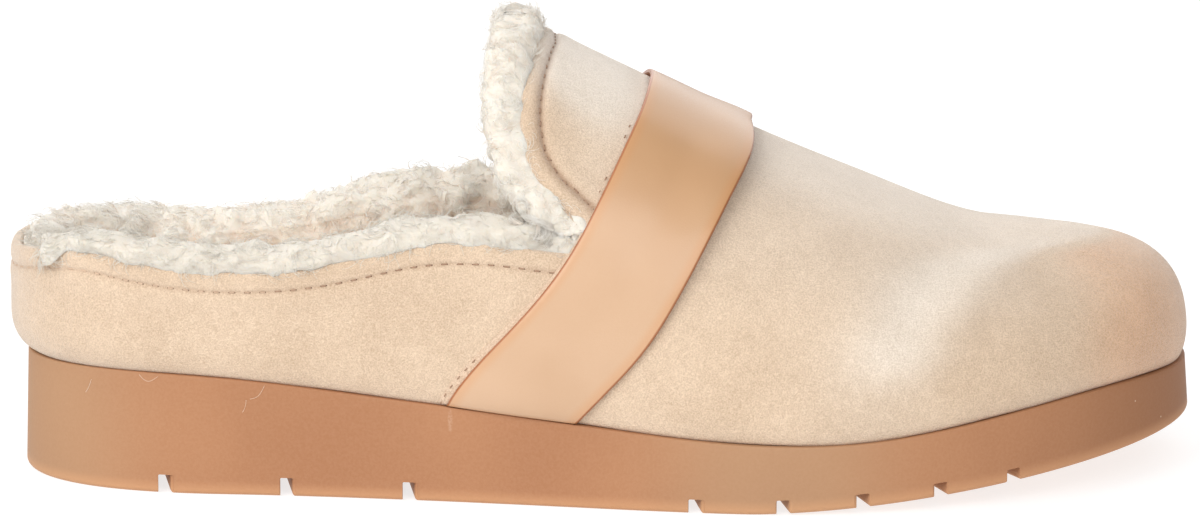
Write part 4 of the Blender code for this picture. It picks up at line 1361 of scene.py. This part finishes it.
fill_inputs(tree, shader, Base_Color=colour, Roughness=0.95, Normal=edge_bump, Sheen_Weight=0.3)
lip.data.materials.append(cut_suede)
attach(lip, "root")


# Seam stitches: the row on the vamp's lip low down, and a few that peep out from under the strap higher up.
# They are short tubes in the collar's thread and dip into the suede at both ends, painted dark there as
# shade in the needle holes, and in the thread's shaded tone all along.
LOW_STITCHES, LOW_STITCH = np.arange(0.6, 15.0, 2.6), 1.0
PEEPING_STITCHES, PEEPING_STITCH, PEEP_ACROSS = (60.0, 63.5, 75.5, 79.0), 0.8, (-0.06, -0.03)
SEAM_LIFT, SEAM_SINK = 0.10, 0.35
peep_ground, peep_normal, _ = strap_ground(lip_turn, np.array([PEEP_ACROSS]))
seam_lines = (
    (lip_top[:, 1], lip_normal[:, 1], LOW_STITCHES, LOW_STITCH),
    (peep_ground[:, 1], peep_normal[:, 1], PEEPING_STITCHES, PEEPING_STITCH),
)
seam_paths, seam_ups = [], []
for seam_line, seam_up, starts, stitch_length in seam_lines:
    for line, line_up in ((seam_line, seam_up), (seam_line[::-1], seam_up[::-1])):
        line_way = path_ways(line)
        for start in starts:
            ways = start + ring_way * stitch_length
            rise = on_path(line_up, line_way, ways)
            lift = SEAM_LIFT - SEAM_SINK * to_end**3
            seam_paths.append(on_path(line, line_way, ways) + rise * lift[:, None])
            seam_ups.append(rise)
seam_tubes = tubes(np.array(seam_paths), THREAD_RADIUS, THREAD_SIDES, np.array(seam_ups))
# Painted shade: dark ends in the needle holes, and the thread's shaded tone all along.
seam_marks = {"needle_hole_shade": to_end[:, None], "painted_light_and_thread_tone": 0.0}
seam_stitches = mesh_piece("seam_stitches", *seam_tubes, marks=seam_marks)
seam_stitches.data.materials.append(thread)
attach(seam_stitches, "root")


# Studio: a pale floor that glows a little, and soft boxes at the front, the left, above and behind.
# The camera stands where the photograph was taken from.
FLOOR_SIZE, FLOOR_GLOW, WORLD_STRENGTH = 8.0, 0.75, 0.03
bpy.ops.mesh.primitive_plane_add(size=FLOOR_SIZE)
studio_floor = bpy.context.object
studio_floor.name = "studio_floor"
floor_paint, tree, shader = new_material("pale_floor")
grain = grain_node(tree, 40.0, 2.0)
fill_inputs(
    tree,
    shader,
    Base_Color=blend_colours(tree, grain["Patch"], (0.33, 0.33, 0.33), (0.35, 0.35, 0.35)),
    Roughness=0.9,
    Specular_IOR_Level=0.1,
    Emission_Color=(1.0, 1.0, 1.0, 1.0),
    Emission_Strength=FLOOR_GLOW,
)
studio_floor.data.materials.append(floor_paint)

AIM = Vector((-0.0002, 0.0, 0.0461))
Softbox = namedtuple("Softbox", "name place width height power")
SOFTBOXES = (
    Softbox("key", (-0.95, -1.0, 0.9), 1.2, 1.2, 18.4),
    Softbox("fill", (0.36, -1.34, 0.9), 1.2, 1.2, 14.6),
    Softbox("overhead", (-0.1, 0.0, 1.5), 1.8, 1.4, 2.2),
    Softbox("side", (-0.9, 0.1, 1.1), 1.0, 1.0, 5.5),
    Softbox("backdrop", (0.1, 1.35, 0.95), 2.4, 1.8, 24.0),
)
for softbox in SOFTBOXES:
    lamp = bpy.data.lights.new(softbox.name, "AREA")
    lamp.shape = "RECTANGLE"
    lamp.size, lamp.size_y = softbox.width, softbox.height
    lamp.energy = softbox.power
    light = bpy.data.objects.new(softbox.name, lamp)
    light.location = softbox.place
    light.rotation_euler = (AIM - Vector(softbox.place)).to_track_quat("-Z", "Y").to_euler()
    bpy.context.scene.collection.objects.link(light)
world = bpy.data.worlds.new("studio_white")
world.use_nodes = True
background = world.node_tree.nodes["Background"]
fill_inputs(world.node_tree, background, Color=(1.0, 1.0, 1.0, 1.0), Strength=WORLD_STRENGTH)
bpy.context.scene.world = world
bpy.context.scene.view_settings.view_transform = "Standard"

ELEVATION, DISTANCE = math.radians(13), 1.45
SENSOR_WIDTH, FOCAL_PIXELS, PHOTO_PIXELS = 36.0, 6490, 1200
camera = bpy.data.objects.new("camera", bpy.data.cameras.new("camera"))
camera.data.sensor_width = SENSOR_WIDTH
camera.data.lens = SENSOR_WIDTH * FOCAL_PIXELS / PHOTO_PIXELS
back = Vector((0.0, -math.cos(ELEVATION), math.sin(ELEVATION)))
camera.location = AIM + back * DISTANCE
camera.rotation_euler = (-back).to_track_quat("-Z", "Y").to_euler()
bpy.context.scene.collection.objects.link(camera)
bpy.context.scene.camera = camera
